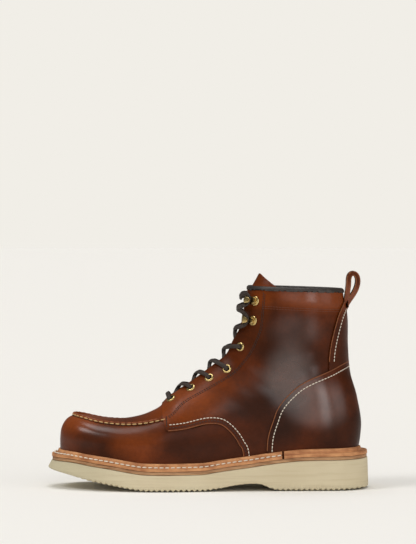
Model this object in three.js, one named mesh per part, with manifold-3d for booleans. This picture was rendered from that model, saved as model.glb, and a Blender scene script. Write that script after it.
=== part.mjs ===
// Wedge sole work boot for the left foot, in millimetres, +Z up.
// The toe points to -X, the outer side faces -Y, and the floor is z = 0 under the middle of the sole.
import * as THREE from 'three';
import { mergeVertices } from 'three/addons/utils/BufferGeometryUtils.js';
import Module from 'manifold-3d';

const wasm = await Module();
wasm.setup();

// Sole sizes
const soleLength = 310;
const soleBallWidth = 112;
const toeSpring = 18;
const archLift = 6.6;
const forefootThickness = 15;
const heelThickness = 28.3;
const toeFlare = 3.2;
const sideFlare = 0.8;
const treadRadius = 1.5;
const midsoleThickness = 3.2;
const midsoleInset = 1.6;
const weltThickness = 2.8;
const weltInset = 1;
const ribHeight = 4.4;
const ribWidth = 2.6;
const insoleThickness = 3;

// Last and upper sizes
const lastLength = 288.6;
const toeRoom = 11.3;
const lastBallWidth = 100;
const shaftHeight = 158;
const toeSwing = 9;
const wall = 1.8;
const quarterStep = 1.5;
const overlayThickness = 1.4;
const mocRidgeWidth = 3.4;
const mocRidgeRise = 0.6;
const vampLap = 6;
const throatGapLow = 17;
const throatGapHigh = 25;

// Tongue, binding and pull loop sizes
const tongueThickness = 2.2;
const tongueWidth = 58;
const tongueTopWidth = 50;
const tongueRise = 15;
const tongueLean = 11;
const tongueRoom = 0.9;
const bindingHeight = 3.4;
const bindingLap = 0.5;
const loopHeight = 24;
const loopReach = 13;
const loopWidth = 17;
const loopThickness = 2.6;
const bindingRounding = 0.7;
const tongueTopTaper = 0.75;

// Lacing sizes
const eyeletDiameter = 9;
const eyeletHole = 4.8;
const eyeletBarrel = 6;
const eyeletRise = 0.9;
const eyeletSetback = 8;
const hookSetback = 12.5;
const hookBaseDiameter = 9.6;
const hookBaseRise = 0.9;
const hookPlateWidth = 8.5;
const hookPlateThickness = 1;
const hookReach = 5.5;
const hookMouth = 4.6;
const laceDiameter = 3.4;
const laceShift = 2.6;
const laceRoom = 1;
const browShare = 0.24;
const browRoom = 0.4;
const middleRoom = 0.8;
const eyeletSeat = 0.7;
const eyeletChamfer = 0.5;
const hookSeat = 0.8;
const hookBaseTaper = 0.3;
const hookFloorShare = 0.4;
const hookLipShare = 0.25;
const hookTightness = 0.45;

// Running clearance between pieces that meet
const fitGap = 0.3;

// Fineness of the facets
const ringSides = 20;
const lastSteps = 26;
const soleSteps = 26;
const laceSides = 6;
const laceSteps = 5;
const ridgeSides = 6;
const ridgeSteps = 15;
const bindingSteps = 20;
const tongueSteps = { length: 12, over: 3, width: 6 };
const eyeletSides = 8;
const loopPieces = 5;
const hookPieces = 5;
const mergeTolerance = 1e-4;
const normalStep = 0.03;
const offMiddle = 1e-3;

// Outline of the sole from toe (at 0) to heel (at 1), as shares of the ball width
const outlineRows = [
  { at: 0.00, half: 0.405, centre: 0.086 },
  { at: 0.10, half: 0.430, centre: 0.070 },
  { at: 0.20, half: 0.475, centre: 0.036 },
  { at: 0.33, half: 0.500, centre: 0.000 },
  { at: 0.45, half: 0.458, centre: -0.014 },
  { at: 0.55, half: 0.403, centre: -0.030 },
  { at: 0.65, half: 0.372, centre: -0.034 },
  { at: 0.76, half: 0.362, centre: -0.020 },
  { at: 0.87, half: 0.368, centre: -0.005 },
  { at: 1.00, half: 0.360, centre: 0.000 },
];
const toeRound = { share: 0.20, power: 2.2 };
const heelRound = { share: 0.125, power: 2.25 };

// Side profile of the outsole: spring and arch as shares of toeSpring and archLift,
// fore as a share of forefootThickness, wedge as the share of the rise to heelThickness
const profileRows = [
  { at: 0.00, spring: 1.00, arch: 0.00, fore: 0.50, wedge: 0.00 },
  { at: 0.08, spring: 0.73, arch: 0.00, fore: 0.80, wedge: 0.00 },
  { at: 0.13, spring: 0.50, arch: 0.00, fore: 0.93, wedge: 0.00 },
  { at: 0.20, spring: 0.29, arch: 0.00, fore: 1.00, wedge: 0.00 },
  { at: 0.26, spring: 0.10, arch: 0.00, fore: 1.02, wedge: 0.00 },
  { at: 0.31, spring: 0.00, arch: 0.00, fore: 1.02, wedge: 0.00 },
  { at: 0.36, spring: 0.00, arch: 0.00, fore: 1.00, wedge: 0.00 },
  { at: 0.48, spring: 0.00, arch: 0.00, fore: 1.00, wedge: 0.03 },
  { at: 0.53, spring: 0.00, arch: 0.30, fore: 1.00, wedge: 0.20 },
  { at: 0.58, spring: 0.00, arch: 0.75, fore: 1.00, wedge: 0.36 },
  { at: 0.63, spring: 0.00, arch: 1.00, fore: 1.00, wedge: 0.51 },
  { at: 0.66, spring: 0.00, arch: 0.98, fore: 1.00, wedge: 0.62 },
  { at: 0.68, spring: 0.00, arch: 0.60, fore: 1.00, wedge: 0.69 },
  { at: 0.70, spring: 0.00, arch: 0.12, fore: 1.00, wedge: 0.75 },
  { at: 0.72, spring: 0.00, arch: 0.00, fore: 1.00, wedge: 0.81 },
  { at: 0.80, spring: 0.00, arch: 0.00, fore: 1.00, wedge: 0.97 },
  { at: 0.87, spring: 0.00, arch: 0.00, fore: 1.00, wedge: 1.00 },
  { at: 0.95, spring: 0.02, arch: 0.00, fore: 1.00, wedge: 1.00 },
  { at: 1.00, spring: 0.07, arch: 0.00, fore: 1.00, wedge: 0.98 },
];

// Sections of the last. They stand upright at the toe, turn round the ankle and lie level at the collar.
// foot and crest are the two ends of a section on the middle plane: along as a share of lastLength
// from the toe, rise as a share of shaftHeight over the midsole. outer and inner are half widths as
// shares of lastBallWidth, widest is where along the section they fall, low and high are the powers of
// the rounding towards foot and crest, and sway is the sideways shift as a share of toeSwing.
const lastRows = [
  { foot: [0.000, 0.096], crest: [0.000, 0.096], outer: 0, inner: 0, widest: 0.42, low: 2.4, high: 2.4, sway: 1 },
  { foot: [0.005, 0.014], crest: [0.005, 0.172], outer: 0.14, inner: 0.14, widest: 0.42, low: 2.6, high: 2.4,
    sway: 1 },
  { foot: [0.023, -0.027], crest: [0.023, 0.228], outer: 0.25, inner: 0.24, widest: 0.42, low: 3.2, high: 2.5,
    sway: 0.96 },
  { foot: [0.053, -0.030], crest: [0.053, 0.256], outer: 0.345, inner: 0.32, widest: 0.44, low: 4.0, high: 2.6,
    sway: 0.85 },
  { foot: [0.093, -0.030], crest: [0.093, 0.264], outer: 0.405, inner: 0.38, widest: 0.45, low: 4.6, high: 2.7,
    sway: 0.70 },
  { foot: [0.151, -0.029], crest: [0.151, 0.261], outer: 0.455, inner: 0.43, widest: 0.45, low: 5.0, high: 2.7,
    sway: 0.48 },
  { foot: [0.228, -0.027], crest: [0.228, 0.284], outer: 0.490, inner: 0.475, widest: 0.42, low: 5.0, high: 2.5,
    sway: 0.20 },
  { foot: [0.325, -0.026], crest: [0.325, 0.358], outer: 0.500, inner: 0.50, widest: 0.36, low: 4.6, high: 2.2,
    sway: 0.00 },
  { foot: [0.446, -0.027], crest: [0.374, 0.440], outer: 0.480, inner: 0.445, widest: 0.32, low: 4.4, high: 2.0,
    sway: 0.05 },
  { foot: [0.567, -0.026], crest: [0.437, 0.524], outer: 0.435, inner: 0.385, widest: 0.29, low: 4.2, high: 1.9,
    sway: 0.10 },
  { foot: [0.699, -0.028], crest: [0.491, 0.602], outer: 0.390, inner: 0.350, widest: 0.27, low: 4.0, high: 1.9,
    sway: 0.10 },
  { foot: [0.837, -0.028], crest: [0.529, 0.648], outer: 0.360, inner: 0.338, widest: 0.28, low: 3.4, high: 1.95,
    sway: 0.08 },
  { foot: [0.966, -0.028], crest: [0.553, 0.684], outer: 0.352, inner: 0.338, widest: 0.34, low: 2.6, high: 2.0,
    sway: 0.05 },
  { foot: [1.000, 0.150], crest: [0.568, 0.727], outer: 0.352, inner: 0.342, widest: 0.42, low: 2.2, high: 2.05,
    sway: 0.03 },
  { foot: [0.987, 0.341], crest: [0.583, 0.770], outer: 0.356, inner: 0.350, widest: 0.46, low: 2.1, high: 2.1,
    sway: 0.02 },
  { foot: [0.964, 0.493], crest: [0.600, 0.814], outer: 0.362, inner: 0.358, widest: 0.48, low: 2.1, high: 2.1,
    sway: 0 },
  { foot: [0.956, 0.664], crest: [0.612, 0.880], outer: 0.366, inner: 0.364, widest: 0.49, low: 2.15, high: 2.15,
    sway: 0 },
  { foot: [0.955, 0.822], crest: [0.619, 0.965], outer: 0.366, inner: 0.366, widest: 0.50, low: 2.2, high: 2.2,
    sway: 0 },
  { foot: [0.945, 0.988], crest: [0.629, 1.050], outer: 0.366, inner: 0.366, widest: 0.50, low: 2.2, high: 2.2,
    sway: 0 },
  { foot: [0.940, 1.070], crest: [0.636, 1.130], outer: 0.366, inner: 0.366, widest: 0.50, low: 2.2, high: 2.2,
    sway: 0 },
];
const collarRow = lastRows.length - 2;
const openRow = lastRows.length - 1;

// Edges drawn on the side view, each point as [share of lastLength, share of shaftHeight]
const quarterEdge = [
  [0.344, 0.60], [0.343, 0.400], [0.348, 0.320], [0.358, 0.262], [0.366, 0.246], [0.423, 0.256],
  [0.474, 0.276], [0.505, 0.278], [0.539, 0.262], [0.565, 0.224], [0.588, 0.171], [0.603, 0.120],
  [0.614, 0.076], [0.624, -0.100],
];
const counterEdge = [
  [1.060, 0.600], [0.969, 0.566], [0.901, 0.513], [0.835, 0.465], [0.793, 0.423], [0.751, 0.356],
  [0.728, 0.300], [0.716, 0.246], [0.699, 0.155], [0.694, 0.077], [0.692, -0.100],
];
const backstayEdge = [[0.958, 0.940], [0.941, 0.880], [0.928, 0.820], [0.908, 0.680], [0.900, 0.555], [0.899, 0.30]];
const mocSeam = [
  { along: 0.048, half: 0.00 }, { along: 0.056, half: 0.11 }, { along: 0.080, half: 0.205 },
  { along: 0.134, half: 0.272 }, { along: 0.190, half: 0.300 }, { along: 0.247, half: 0.318 },
  { along: 0.298, half: 0.332 }, { along: 0.352, half: 0.340 },
];
const weltJointAlong = 0.746;

// Bends of the pull loop on the side view, up its near side, over the top and down its far side.
// Each point is [share of loopReach, share of loopHeight, sideways and upward growth with the band's half].
const loopStart = [0.092, 0, -0.3, -1];
const loopBends = [
  [[0, 0.167, -1, 0], [0, 0.75, -1, 0], [0, 0.667, -1, 0]],
  [[0, 0.917, -1, 0], [0.231, 1, 0, 1], [0.423, 1, 0, 1]],
  [[0.692, 1, 0, 1], [1, 0.833, 1, 0], [1, 0.625, 1, 0]],
  [[1, 0.458, 1, 0], [0.246, 0.167, 1, 0], [0.208, 0, 0.6, -1]],
];

// Rows of the last at which the lacing sits, from the vamp up
const eyeletRows = [8.0, 8.95, 9.9, 11.05, 13.5];
const hookRows = [16.05, 17.3];

// Start of the throat and of the tongue, as rows of the last
const throatRow = 7.0;
const tongueStartRow = 7.35;

const toeX = -soleLength / 2 + toeRoom;

// Reading the tables

// Slopes at the rows of a column, level at its high and low points so that flat stretches stay flat
function slopes(places, values) {
  const chords = places.slice(1).map((place, i) => (values[i + 1] - values[i]) / (place - places[i]));
  return values.map((_, i) => {
    if (i === 0) return chords[0];
    if (i === chords.length) return chords[i - 1];
    const [before, after] = [chords[i - 1], chords[i]];
    return before * after <= 0 ? 0 : (2 * before * after) / (before + after);
  });
}

// Smooth value between rows: places rise, values belong to them
function smooth(places, values, at) {
  const last = places.length - 2;
  let i = 0;
  while (i < last && at > places[i + 1]) i += 1;
  const span = places[i + 1] - places[i];
  const t = THREE.MathUtils.clamp((at - places[i]) / span, 0, 1);
  const slope = slopes(places, values);
  const bend = t * t * (3 - 2 * t);
  const start = t * (1 - t) ** 2 * span * slope[i];
  const end = t * t * (t - 1) * span * slope[i + 1];
  return values[i] + (values[i + 1] - values[i]) * bend + start + end;
}

function column(rows, name, at) {
  return smooth(rows.map((row) => row.at), rows.map((row) => row[name]), at);
}

// Value between the rows of the last, on one curve through all of them
function lastValue(pick, row) {
  const i = Math.min(Math.floor(row), lastRows.length - 2);
  const t = row - i;
  const value = (k) => pick(lastRows[THREE.MathUtils.clamp(k, 0, lastRows.length - 1)]);
  const [before, start, end, after] = [value(i - 1), value(i), value(i + 1), value(i + 2)];
  const slopeIn = (end - before) / 2;
  const slopeOut = (after - start) / 2;
  return start + t * slopeIn
    + t * t * (3 * (end - start) - 2 * slopeIn - slopeOut)
    + t * t * t * (2 * (start - end) + slopeIn + slopeOut);
}

// Heights of the sole

function soleShare(x) {
  return THREE.MathUtils.clamp(x / soleLength + 0.5, 0, 1);
}

function springAt(x) {
  return toeSpring * column(profileRows, 'spring', soleShare(x));
}

function groundAt(x) {
  return springAt(x) + archLift * column(profileRows, 'arch', soleShare(x));
}

function outsoleTop(x) {
  const share = soleShare(x);
  const fore = forefootThickness * column(profileRows, 'fore', share);
  return springAt(x) + THREE.MathUtils.lerp(fore, heelThickness, column(profileRows, 'wedge', share));
}

function midsoleTop(x) {
  return outsoleTop(x) + fitGap + midsoleThickness;
}

function seatAt(x) {
  return midsoleTop(x) + fitGap;
}

function weltTop(x) {
  return seatAt(x) + weltThickness;
}

// Places on the side view
function sidePoint([along, rise]) {
  const x = toeX + along * lastLength;
  return new THREE.Vector2(x, midsoleTop(x) + rise * shaftHeight);
}

// Solids

// A closed solid from a geometry, with its shared corners merged and its faces turned outwards
function solid(geometry) {
  const bare = geometry.clone();
  Object.keys(bare.attributes).filter((name) => name !== 'position').forEach((name) => bare.deleteAttribute(name));
  const merged = mergeVertices(bare, mergeTolerance);
  const corners = merged.attributes.position.array;
  const triangles = [];
  for (let i = 0; i < merged.index.count; i += 3) {
    const [a, b, c] = [0, 1, 2].map((k) => merged.index.getX(i + k));
    if (a !== b && b !== c && c !== a) triangles.push(a, b, c);
  }
  if (signedVolume(corners, triangles) < 0) triangles.reverse();
  const mesh = new wasm.Mesh({
    numProp: 3, vertProperties: new Float32Array(corners), triVerts: new Uint32Array(triangles),
  });
  return new wasm.Manifold(mesh);
}

function signedVolume(corners, triangles) {
  const corner = (i) => new THREE.Vector3().fromArray(corners, 3 * i);
  let volume = 0;
  for (let i = 0; i < triangles.length; i += 3) {
    const [a, b, c] = [corner(triangles[i]), corner(triangles[i + 1]), corner(triangles[i + 2])];
    volume += a.dot(b.cross(c)) / 6;
  }
  return volume;
}

function geometryOf(body) {
  const mesh = body.getMesh();
  const geometry = new THREE.BufferGeometry();
  geometry.setAttribute('position', new THREE.BufferAttribute(new Float32Array(mesh.vertProperties), 3));
  geometry.setIndex(new THREE.BufferAttribute(new Uint32Array(mesh.triVerts), 1));
  geometry.computeVertexNormals();
  return geometry;
}

// A skin over rings of equal length. An end whose ring has shrunk to a point or line needs no cap.
function loft(rings, { capStart = true, capEnd = true } = {}) {
  const count = rings[0].length;
  const corners = rings.flat();
  const faces = [];
  for (let i = 0; i < rings.length - 1; i += 1) {
    for (let j = 0; j < count; j += 1) {
      const next = (j + 1) % count;
      const [a, b, c, d] = [i * count + j, i * count + next, (i + 1) * count + next, (i + 1) * count + j];
      faces.push(a, b, c, a, c, d);
    }
  }
  const cap = (ring, offset, turned) => {
    const middle = ring.reduce((sum, point) => sum.add(point), new THREE.Vector3()).divideScalar(count);
    corners.push(middle);
    for (let j = 0; j < count; j += 1) {
      const [from, to] = [offset + j, offset + ((j + 1) % count)];
      faces.push(...(turned ? [corners.length - 1, to, from] : [corners.length - 1, from, to]));
    }
  };
  if (capStart) cap(rings[0], 0, true);
  if (capEnd) cap(rings[rings.length - 1], (rings.length - 1) * count, false);
  const geometry = new THREE.BufferGeometry().setFromPoints(corners);
  geometry.setIndex(faces);
  return solid(geometry);
}

// A side view outline carried across the whole width of the boot
function sidePrism(points) {
  const span = 2 * soleBallWidth;
  const geometry = new THREE.ExtrudeGeometry(new THREE.Shape(points), { depth: span, bevelEnabled: false, steps: 1 });
  geometry.rotateX(Math.PI / 2);
  geometry.translate(0, span / 2, 0);
  return solid(geometry);
}

// The form of the last

function sectionAt(row) {
  const foot = sidePoint([lastValue((r) => r.foot[0], row), lastValue((r) => r.foot[1], row)]);
  const crest = sidePoint([lastValue((r) => r.crest[0], row), lastValue((r) => r.crest[1], row)]);
  return {
    foot,
    crest,
    outer: lastBallWidth * lastValue((r) => r.outer, row),
    inner: lastBallWidth * lastValue((r) => r.inner, row),
    widest: lastValue((r) => r.widest, row),
    low: lastValue((r) => r.low, row),
    high: lastValue((r) => r.high, row),
    sway: toeSwing * lastValue((r) => r.sway, row),
  };
}

// Point of a section: angle 0 at its foot, a quarter turn at its outer side, half a turn at its crest
function sectionPoint(section, angle) {
  const [cos, sin] = [Math.cos(angle), Math.sin(angle)];
  const power = 2 / (cos > 0 ? section.low : section.high);
  const reach = Math.abs(cos) ** power;
  const share = cos > 0 ? section.widest * (1 - reach) : section.widest + (1 - section.widest) * reach;
  const half = sin > 0 ? section.outer : section.inner;
  const middle = section.foot.clone().lerp(section.crest, share);
  return new THREE.Vector3(middle.x, section.sway - Math.sign(sin) * half * Math.abs(sin) ** power, middle.y);
}

function lastNormal(row, angle) {
  const step = normalStep;
  if (row < step) return new THREE.Vector3(-1, 0, 0);
  const top = Math.min(row + step, openRow);
  const ahead = sectionPoint(sectionAt(top), angle).sub(sectionPoint(sectionAt(row - step), angle));
  const section = sectionAt(row);
  const round = sectionPoint(section, angle + step).sub(sectionPoint(section, angle - step));
  const normal = ahead.cross(round).normalize();
  if (row < collarRow) return normal;
  const level = section.crest.clone().sub(section.foot).normalize();
  const upward = new THREE.Vector3(level.y, 0, -level.x);
  return normal.addScaledVector(upward, -normal.dot(upward)).normalize();
}

function lastPoint(row, angle, offset) {
  return sectionPoint(sectionAt(row), angle).addScaledVector(lastNormal(row, angle), offset);
}

// Angle at which a section is a given distance from its middle, on the crest side
function crestAngle(row, distance) {
  const section = sectionAt(row);
  const half = distance < 0 ? section.outer : section.inner;
  const turn = Math.asin(Math.min(1, Math.abs(distance) / half) ** (section.high / 2));
  return Math.PI + Math.sign(distance) * turn;
}

// The whole form of the last, grown by an offset, up to the collar or past it
function form(offset, open = false) {
  const rows = Array.from({ length: lastSteps + 1 }, (_, i) => (collarRow * i) / lastSteps);
  if (open) rows.push(openRow);
  const rings = rows.map((row) => (
    Array.from({ length: ringSides }, (_, j) => lastPoint(row, (2 * Math.PI * j) / ringSides, offset))
  ));
  return loft(rings, { capStart: false });
}

// The sole's outline and layers

function roundEnd(share, { share: reach, power }) {
  if (share >= reach) return 1;
  return (1 - (1 - share / reach) ** power) ** (1 / power);
}

// Station of a layer: its place along the sole and its outer and inner edge, drawn in by an inset
function outlineStation(share, inset) {
  const x = THREE.MathUtils.lerp(-soleLength / 2 + inset, soleLength / 2 - inset, share);
  const round = roundEnd(share, toeRound) * roundEnd(1 - share, heelRound);
  const half = (soleBallWidth * column(outlineRows, 'half', share) - inset) * round;
  const centre = soleBallWidth * column(outlineRows, 'centre', share);
  return { x, outer: centre - half, inner: centre + half };
}

// Stations lie closer together towards toe and heel
function stationShare(i) {
  return (1 - Math.cos((Math.PI * i) / soleSteps)) / 2;
}

// A layer of the sole from levels, each an inset and a height that may change along the sole
function soleLayer(levels) {
  const rings = [];
  for (let i = 0; i <= soleSteps; i += 1) {
    const share = stationShare(i);
    const edges = levels.map(({ inset, height }) => {
      const station = outlineStation(share, typeof inset === 'function' ? inset(share) : inset);
      return { ...station, z: height(station.x) };
    });
    const outerSide = edges.map(({ x, outer, z }) => new THREE.Vector3(x, outer, z));
    const innerSide = edges.map(({ x, inner, z }) => new THREE.Vector3(x, inner, z)).reverse();
    rings.push([...outerSide, ...innerSide]);
  }
  return loft(rings, { capStart: false, capEnd: false });
}

const overTop = 2 * shaftHeight;

// Line over the sole on the side view, carried on level past toe and heel
function heightLine(height) {
  const places = Array.from({ length: soleSteps + 1 }, (_, i) => outlineStation(stationShare(i), 0).x);
  const line = places.map((x) => new THREE.Vector2(x, height(x)));
  const [first, last] = [line[0], line[soleSteps]];
  return [new THREE.Vector2(-soleLength, first.y), ...line, new THREE.Vector2(soleLength, last.y)];
}

function allAbove(height) {
  return sidePrism([
    ...heightLine(height), new THREE.Vector2(soleLength, overTop), new THREE.Vector2(-soleLength, overTop),
  ]);
}

function slabOver(height, thickness) {
  const top = heightLine((x) => height(x) + thickness);
  return sidePrism([...heightLine(height), ...top.reverse()]);
}

// Side view regions of the overlays, each grown forwards where a neighbour needs room
function regionBehind(edge, room = 0) {
  const line = edge.map(sidePoint).map((point) => new THREE.Vector2(point.x - room, point.y));
  const last = line[line.length - 1];
  return sidePrism([
    ...line, new THREE.Vector2(soleLength, last.y), new THREE.Vector2(soleLength, overTop),
    new THREE.Vector2(line[0].x, overTop),
  ]);
}

function regionUnder(edge, room = 0) {
  const line = edge.map(sidePoint).map((point) => new THREE.Vector2(point.x - room, point.y + room));
  const last = line[line.length - 1];
  return sidePrism([...line, new THREE.Vector2(soleLength, last.y), new THREE.Vector2(soleLength, line[0].y)]);
}

const counterOffset = quarterStep + fitGap + overlayThickness;

// The outside of upper and counter, grown by some room, for what fits round their foot
function upperEnvelope(room) {
  const quarters = form(quarterStep + room).intersect(regionBehind(quarterEdge, room));
  const counter = form(counterOffset + room).intersect(regionUnder(counterEdge, room));
  return form(room).add(quarters).add(counter);
}

// The throat

function throatHalfGap(row) {
  const share = THREE.MathUtils.clamp((row - throatRow) / (collarRow - throatRow), 0, 1);
  return THREE.MathUtils.lerp(throatGapLow, throatGapHigh, share) / 2;
}

function throatCutter(fromRow) {
  const reach = 0.28 * lastBallWidth;
  const rings = [];
  for (let i = 0; i <= 2 * openRow; i += 1) {
    const row = THREE.MathUtils.lerp(fromRow, openRow, i / (2 * openRow));
    const { foot, crest, sway } = sectionAt(row);
    const inward = foot.clone().sub(crest).normalize();
    const [deep, high] = [reach, -reach].map((step) => crest.clone().addScaledVector(inward, step));
    const half = throatHalfGap(row);
    rings.push([
      new THREE.Vector3(deep.x, sway - half, deep.y), new THREE.Vector3(high.x, sway - half, high.y),
      new THREE.Vector3(high.x, sway + half, high.y), new THREE.Vector3(deep.x, sway + half, deep.y),
    ]);
  }
  return loft(rings);
}

// Place of a fitting on a quarter beside the throat, with its directions
function facingPlace(row, side, setback) {
  const angle = crestAngle(row, side * (throatHalfGap(row) + setback));
  const normal = lastNormal(row, angle);
  const along = lastPoint(row + 0.1, angle, 0).sub(lastPoint(row - 0.1, angle, 0)).normalize();
  const across = along.clone().cross(normal).normalize().multiplyScalar(side);
  return { point: lastPoint(row, angle, quarterStep), normal, along, across };
}

// Sole pieces

function flareAt(share) {
  return sideFlare + (toeFlare - sideFlare) * THREE.MathUtils.clamp(1 - share / toeRound.share, 0, 1);
}

function outsole() {
  return soleLayer([
    { inset: treadRadius, height: groundAt },
    { inset: 0, height: (x) => groundAt(x) + treadRadius },
    { inset: flareAt, height: outsoleTop },
  ]);
}

function midsole() {
  return soleLayer([
    { inset: (share) => flareAt(share) + midsoleInset - sideFlare, height: (x) => outsoleTop(x) + fitGap },
    { inset: (share) => flareAt(share) + midsoleInset - sideFlare, height: midsoleTop },
  ]);
}

function weltRing() {
  const ledge = soleLayer([
    { inset: (share) => flareAt(share) + weltInset - sideFlare, height: seatAt },
    { inset: (share) => flareAt(share) + weltInset - sideFlare, height: weltTop },
  ]);
  const rib = upperEnvelope(fitGap + ribWidth).intersect(slabOver(seatAt, weltThickness + ribHeight));
  return ledge.add(rib).subtract(upperEnvelope(fitGap));
}

function sideBand(fromX, toX) {
  return sidePrism([
    new THREE.Vector2(fromX, -overTop), new THREE.Vector2(toX, -overTop),
    new THREE.Vector2(toX, overTop), new THREE.Vector2(fromX, overTop),
  ]);
}

const weltJointX = toeX + weltJointAlong * lastLength;

function insole() {
  return form(-wall - fitGap).intersect(slabOver(seatAt, insoleThickness));
}

// Upper pieces

// Raised seam round the top of the toe, as a rounded ridge on the vamp
function mocRidge() {
  const place = ({ along, half }, side) => {
    const row = rowAtCrest(along);
    return lastPoint(row, crestAngle(row, side * Math.max(half * lastBallWidth, offMiddle)), mocRidgeRise);
  };
  const outerSide = mocSeam.slice(1).reverse().map((seat) => place(seat, -1));
  const innerSide = mocSeam.slice(1).map((seat) => place(seat, 1));
  const path = new THREE.CatmullRomCurve3([...outerSide, place(mocSeam[0], -1), ...innerSide]);
  const radius = mocRidgeWidth / 2;
  const outline = new THREE.Shape().absarc(0, 0, radius, 0, 2 * Math.PI);
  return solid(new THREE.ExtrudeGeometry(outline, {
    extrudePath: path, steps: ridgeSteps, bevelEnabled: false, curveSegments: ridgeSides / 2,
  }));
}

// Row of the last whose crest lies a given share along it
function rowAtCrest(along) {
  let [low, high] = [0, collarRow];
  for (let i = 0; i < 30; i += 1) {
    const middle = (low + high) / 2;
    if (lastValue((r) => r.crest[0], middle) < along) low = middle;
    else high = middle;
  }
  return low;
}

function eyeletHoles() {
  const depth = 4 * (wall + quarterStep);
  const radius = eyeletBarrel / 2 + fitGap;
  return eyeletRows.flatMap((row) => [-1, 1].map((side) => {
    const { point, normal } = facingPlace(row, side, eyeletSetback);
    const hole = new THREE.CylinderGeometry(radius, radius, depth, eyeletSides);
    hole.applyQuaternion(new THREE.Quaternion().setFromUnitVectors(new THREE.Vector3(0, 1, 0), normal));
    hole.translate(point.x, point.y, point.z);
    return solid(hole);
  }));
}

function upper() {
  const vamp = form(0).add(mocRidge()).subtract(regionBehind(quarterEdge, -vampLap));
  const quarters = form(quarterStep).intersect(regionBehind(quarterEdge)).subtract(throatCutter(throatRow));
  const hollow = form(-wall, true);
  const shell = vamp.add(quarters).subtract(hollow).intersect(allAbove(seatAt));
  return eyeletHoles().reduce((body, hole) => body.subtract(hole), shell);
}

function overlayShell() {
  return form(counterOffset).subtract(form(quarterStep + fitGap, true));
}

function heelCounter() {
  return overlayShell().intersect(regionUnder(counterEdge)).intersect(allAbove(seatAt));
}

// Teardrop loop over the collar, seen from the side as a closed band
function pullLoop() {
  const low = sidePoint(backstayEdge[0]).y;
  const near = toeX + lastLength * lastRows[collarRow].foot[0] + quarterStep + fitGap + loopThickness / 2;
  const sheet = (half, depth) => {
    const place = ([reach, height, aside, upward]) => (
      [near + reach * loopReach + aside * half, low + height * loopHeight + upward * half]
    );
    const outline = new THREE.Shape().moveTo(...place(loopStart));
    loopBends.forEach((bend) => outline.bezierCurveTo(...bend.flatMap(place)));
    const stood = new THREE.ExtrudeGeometry(
      new THREE.Shape(outline.getPoints(loopPieces)), { depth, bevelEnabled: false, steps: 1 });
    stood.rotateX(Math.PI / 2);
    stood.translate(0, depth / 2, 0);
    return solid(stood);
  };
  return sheet(loopThickness / 2, loopWidth).subtract(sheet(-loopThickness / 2, 2 * loopWidth));
}

function backstay() {
  const line = backstayEdge.map(sidePoint);
  const top = line[0];
  const region = sidePrism([
    ...line, new THREE.Vector2(soleLength, line[line.length - 1].y), new THREE.Vector2(soleLength, top.y),
  ]);
  const strip = overlayShell().intersect(region).subtract(regionUnder(counterEdge, fitGap));
  return strip.add(pullLoop().subtract(form(quarterStep + fitGap, true)));
}

function collarBinding() {
  const [start, end] = [-1, 1].map((side) => crestAngle(collarRow, side * throatHalfGap(collarRow)));
  const rings = [];
  for (let i = 0; i <= bindingSteps; i += 1) {
    const angle = THREE.MathUtils.lerp(start, end - 2 * Math.PI, i / bindingSteps);
    const at = (offset, rise) => {
      const point = lastPoint(collarRow, angle, offset);
      point.z += rise;
      return point;
    };
    const [out, into] = [quarterStep + bindingLap, -wall - bindingLap];
    rings.push([
      at(into, fitGap), at(out, fitGap), at(out, fitGap + bindingRounding * bindingHeight),
      at(out - 2 * bindingLap, fitGap + bindingHeight), at(into + 2 * bindingLap, fitGap + bindingHeight),
      at(into, fitGap + bindingRounding * bindingHeight),
    ]);
  }
  return loft(rings);
}

// Curved sheet behind the throat. It follows the last and leans back over the collar.
function tongue() {
  const { length: lengthSteps, over: overCollar, width: widthSteps } = tongueSteps;
  const outside = -wall - tongueRoom;
  const rings = [];
  for (let i = 0; i <= lengthSteps + overCollar; i += 1) {
    const over = Math.max(0, i - lengthSteps) / overCollar;
    const row = THREE.MathUtils.lerp(tongueStartRow, collarRow, Math.min(1, i / lengthSteps));
    const taper = Math.sqrt(Math.max(0, 1 - tongueTopTaper * over * over));
    const width = THREE.MathUtils.lerp(tongueWidth, tongueTopWidth, Math.min(1, i / lengthSteps)) * taper;
    const lift = new THREE.Vector3(tongueLean * over, 0, tongueRise * over);
    const edge = (offset) => Array.from({ length: widthSteps + 1 }, (_, j) => {
      const distance = width * (j / widthSteps - 0.5);
      return lastPoint(row, crestAngle(row, distance || offMiddle), offset).add(lift);
    });
    rings.push([...edge(outside), ...edge(outside - tongueThickness).reverse()]);
  }
  return loft(rings);
}

// Lacing pieces

function eyelet() {
  const [hole, barrel, rim] = [eyeletHole, eyeletBarrel, eyeletDiameter].map((size) => size / 2);
  const seat = eyeletSeat;
  const profile = [
    [hole, -quarterStep - wall + fitGap], [barrel, -quarterStep - wall + fitGap], [barrel, seat], [rim, seat],
    [rim - eyeletChamfer, seat + eyeletRise], [hole, seat + eyeletRise], [hole, -quarterStep - wall + fitGap],
  ];
  return new THREE.LatheGeometry(profile.map(([r, h]) => new THREE.Vector2(r, h)), eyeletSides);
}

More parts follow.
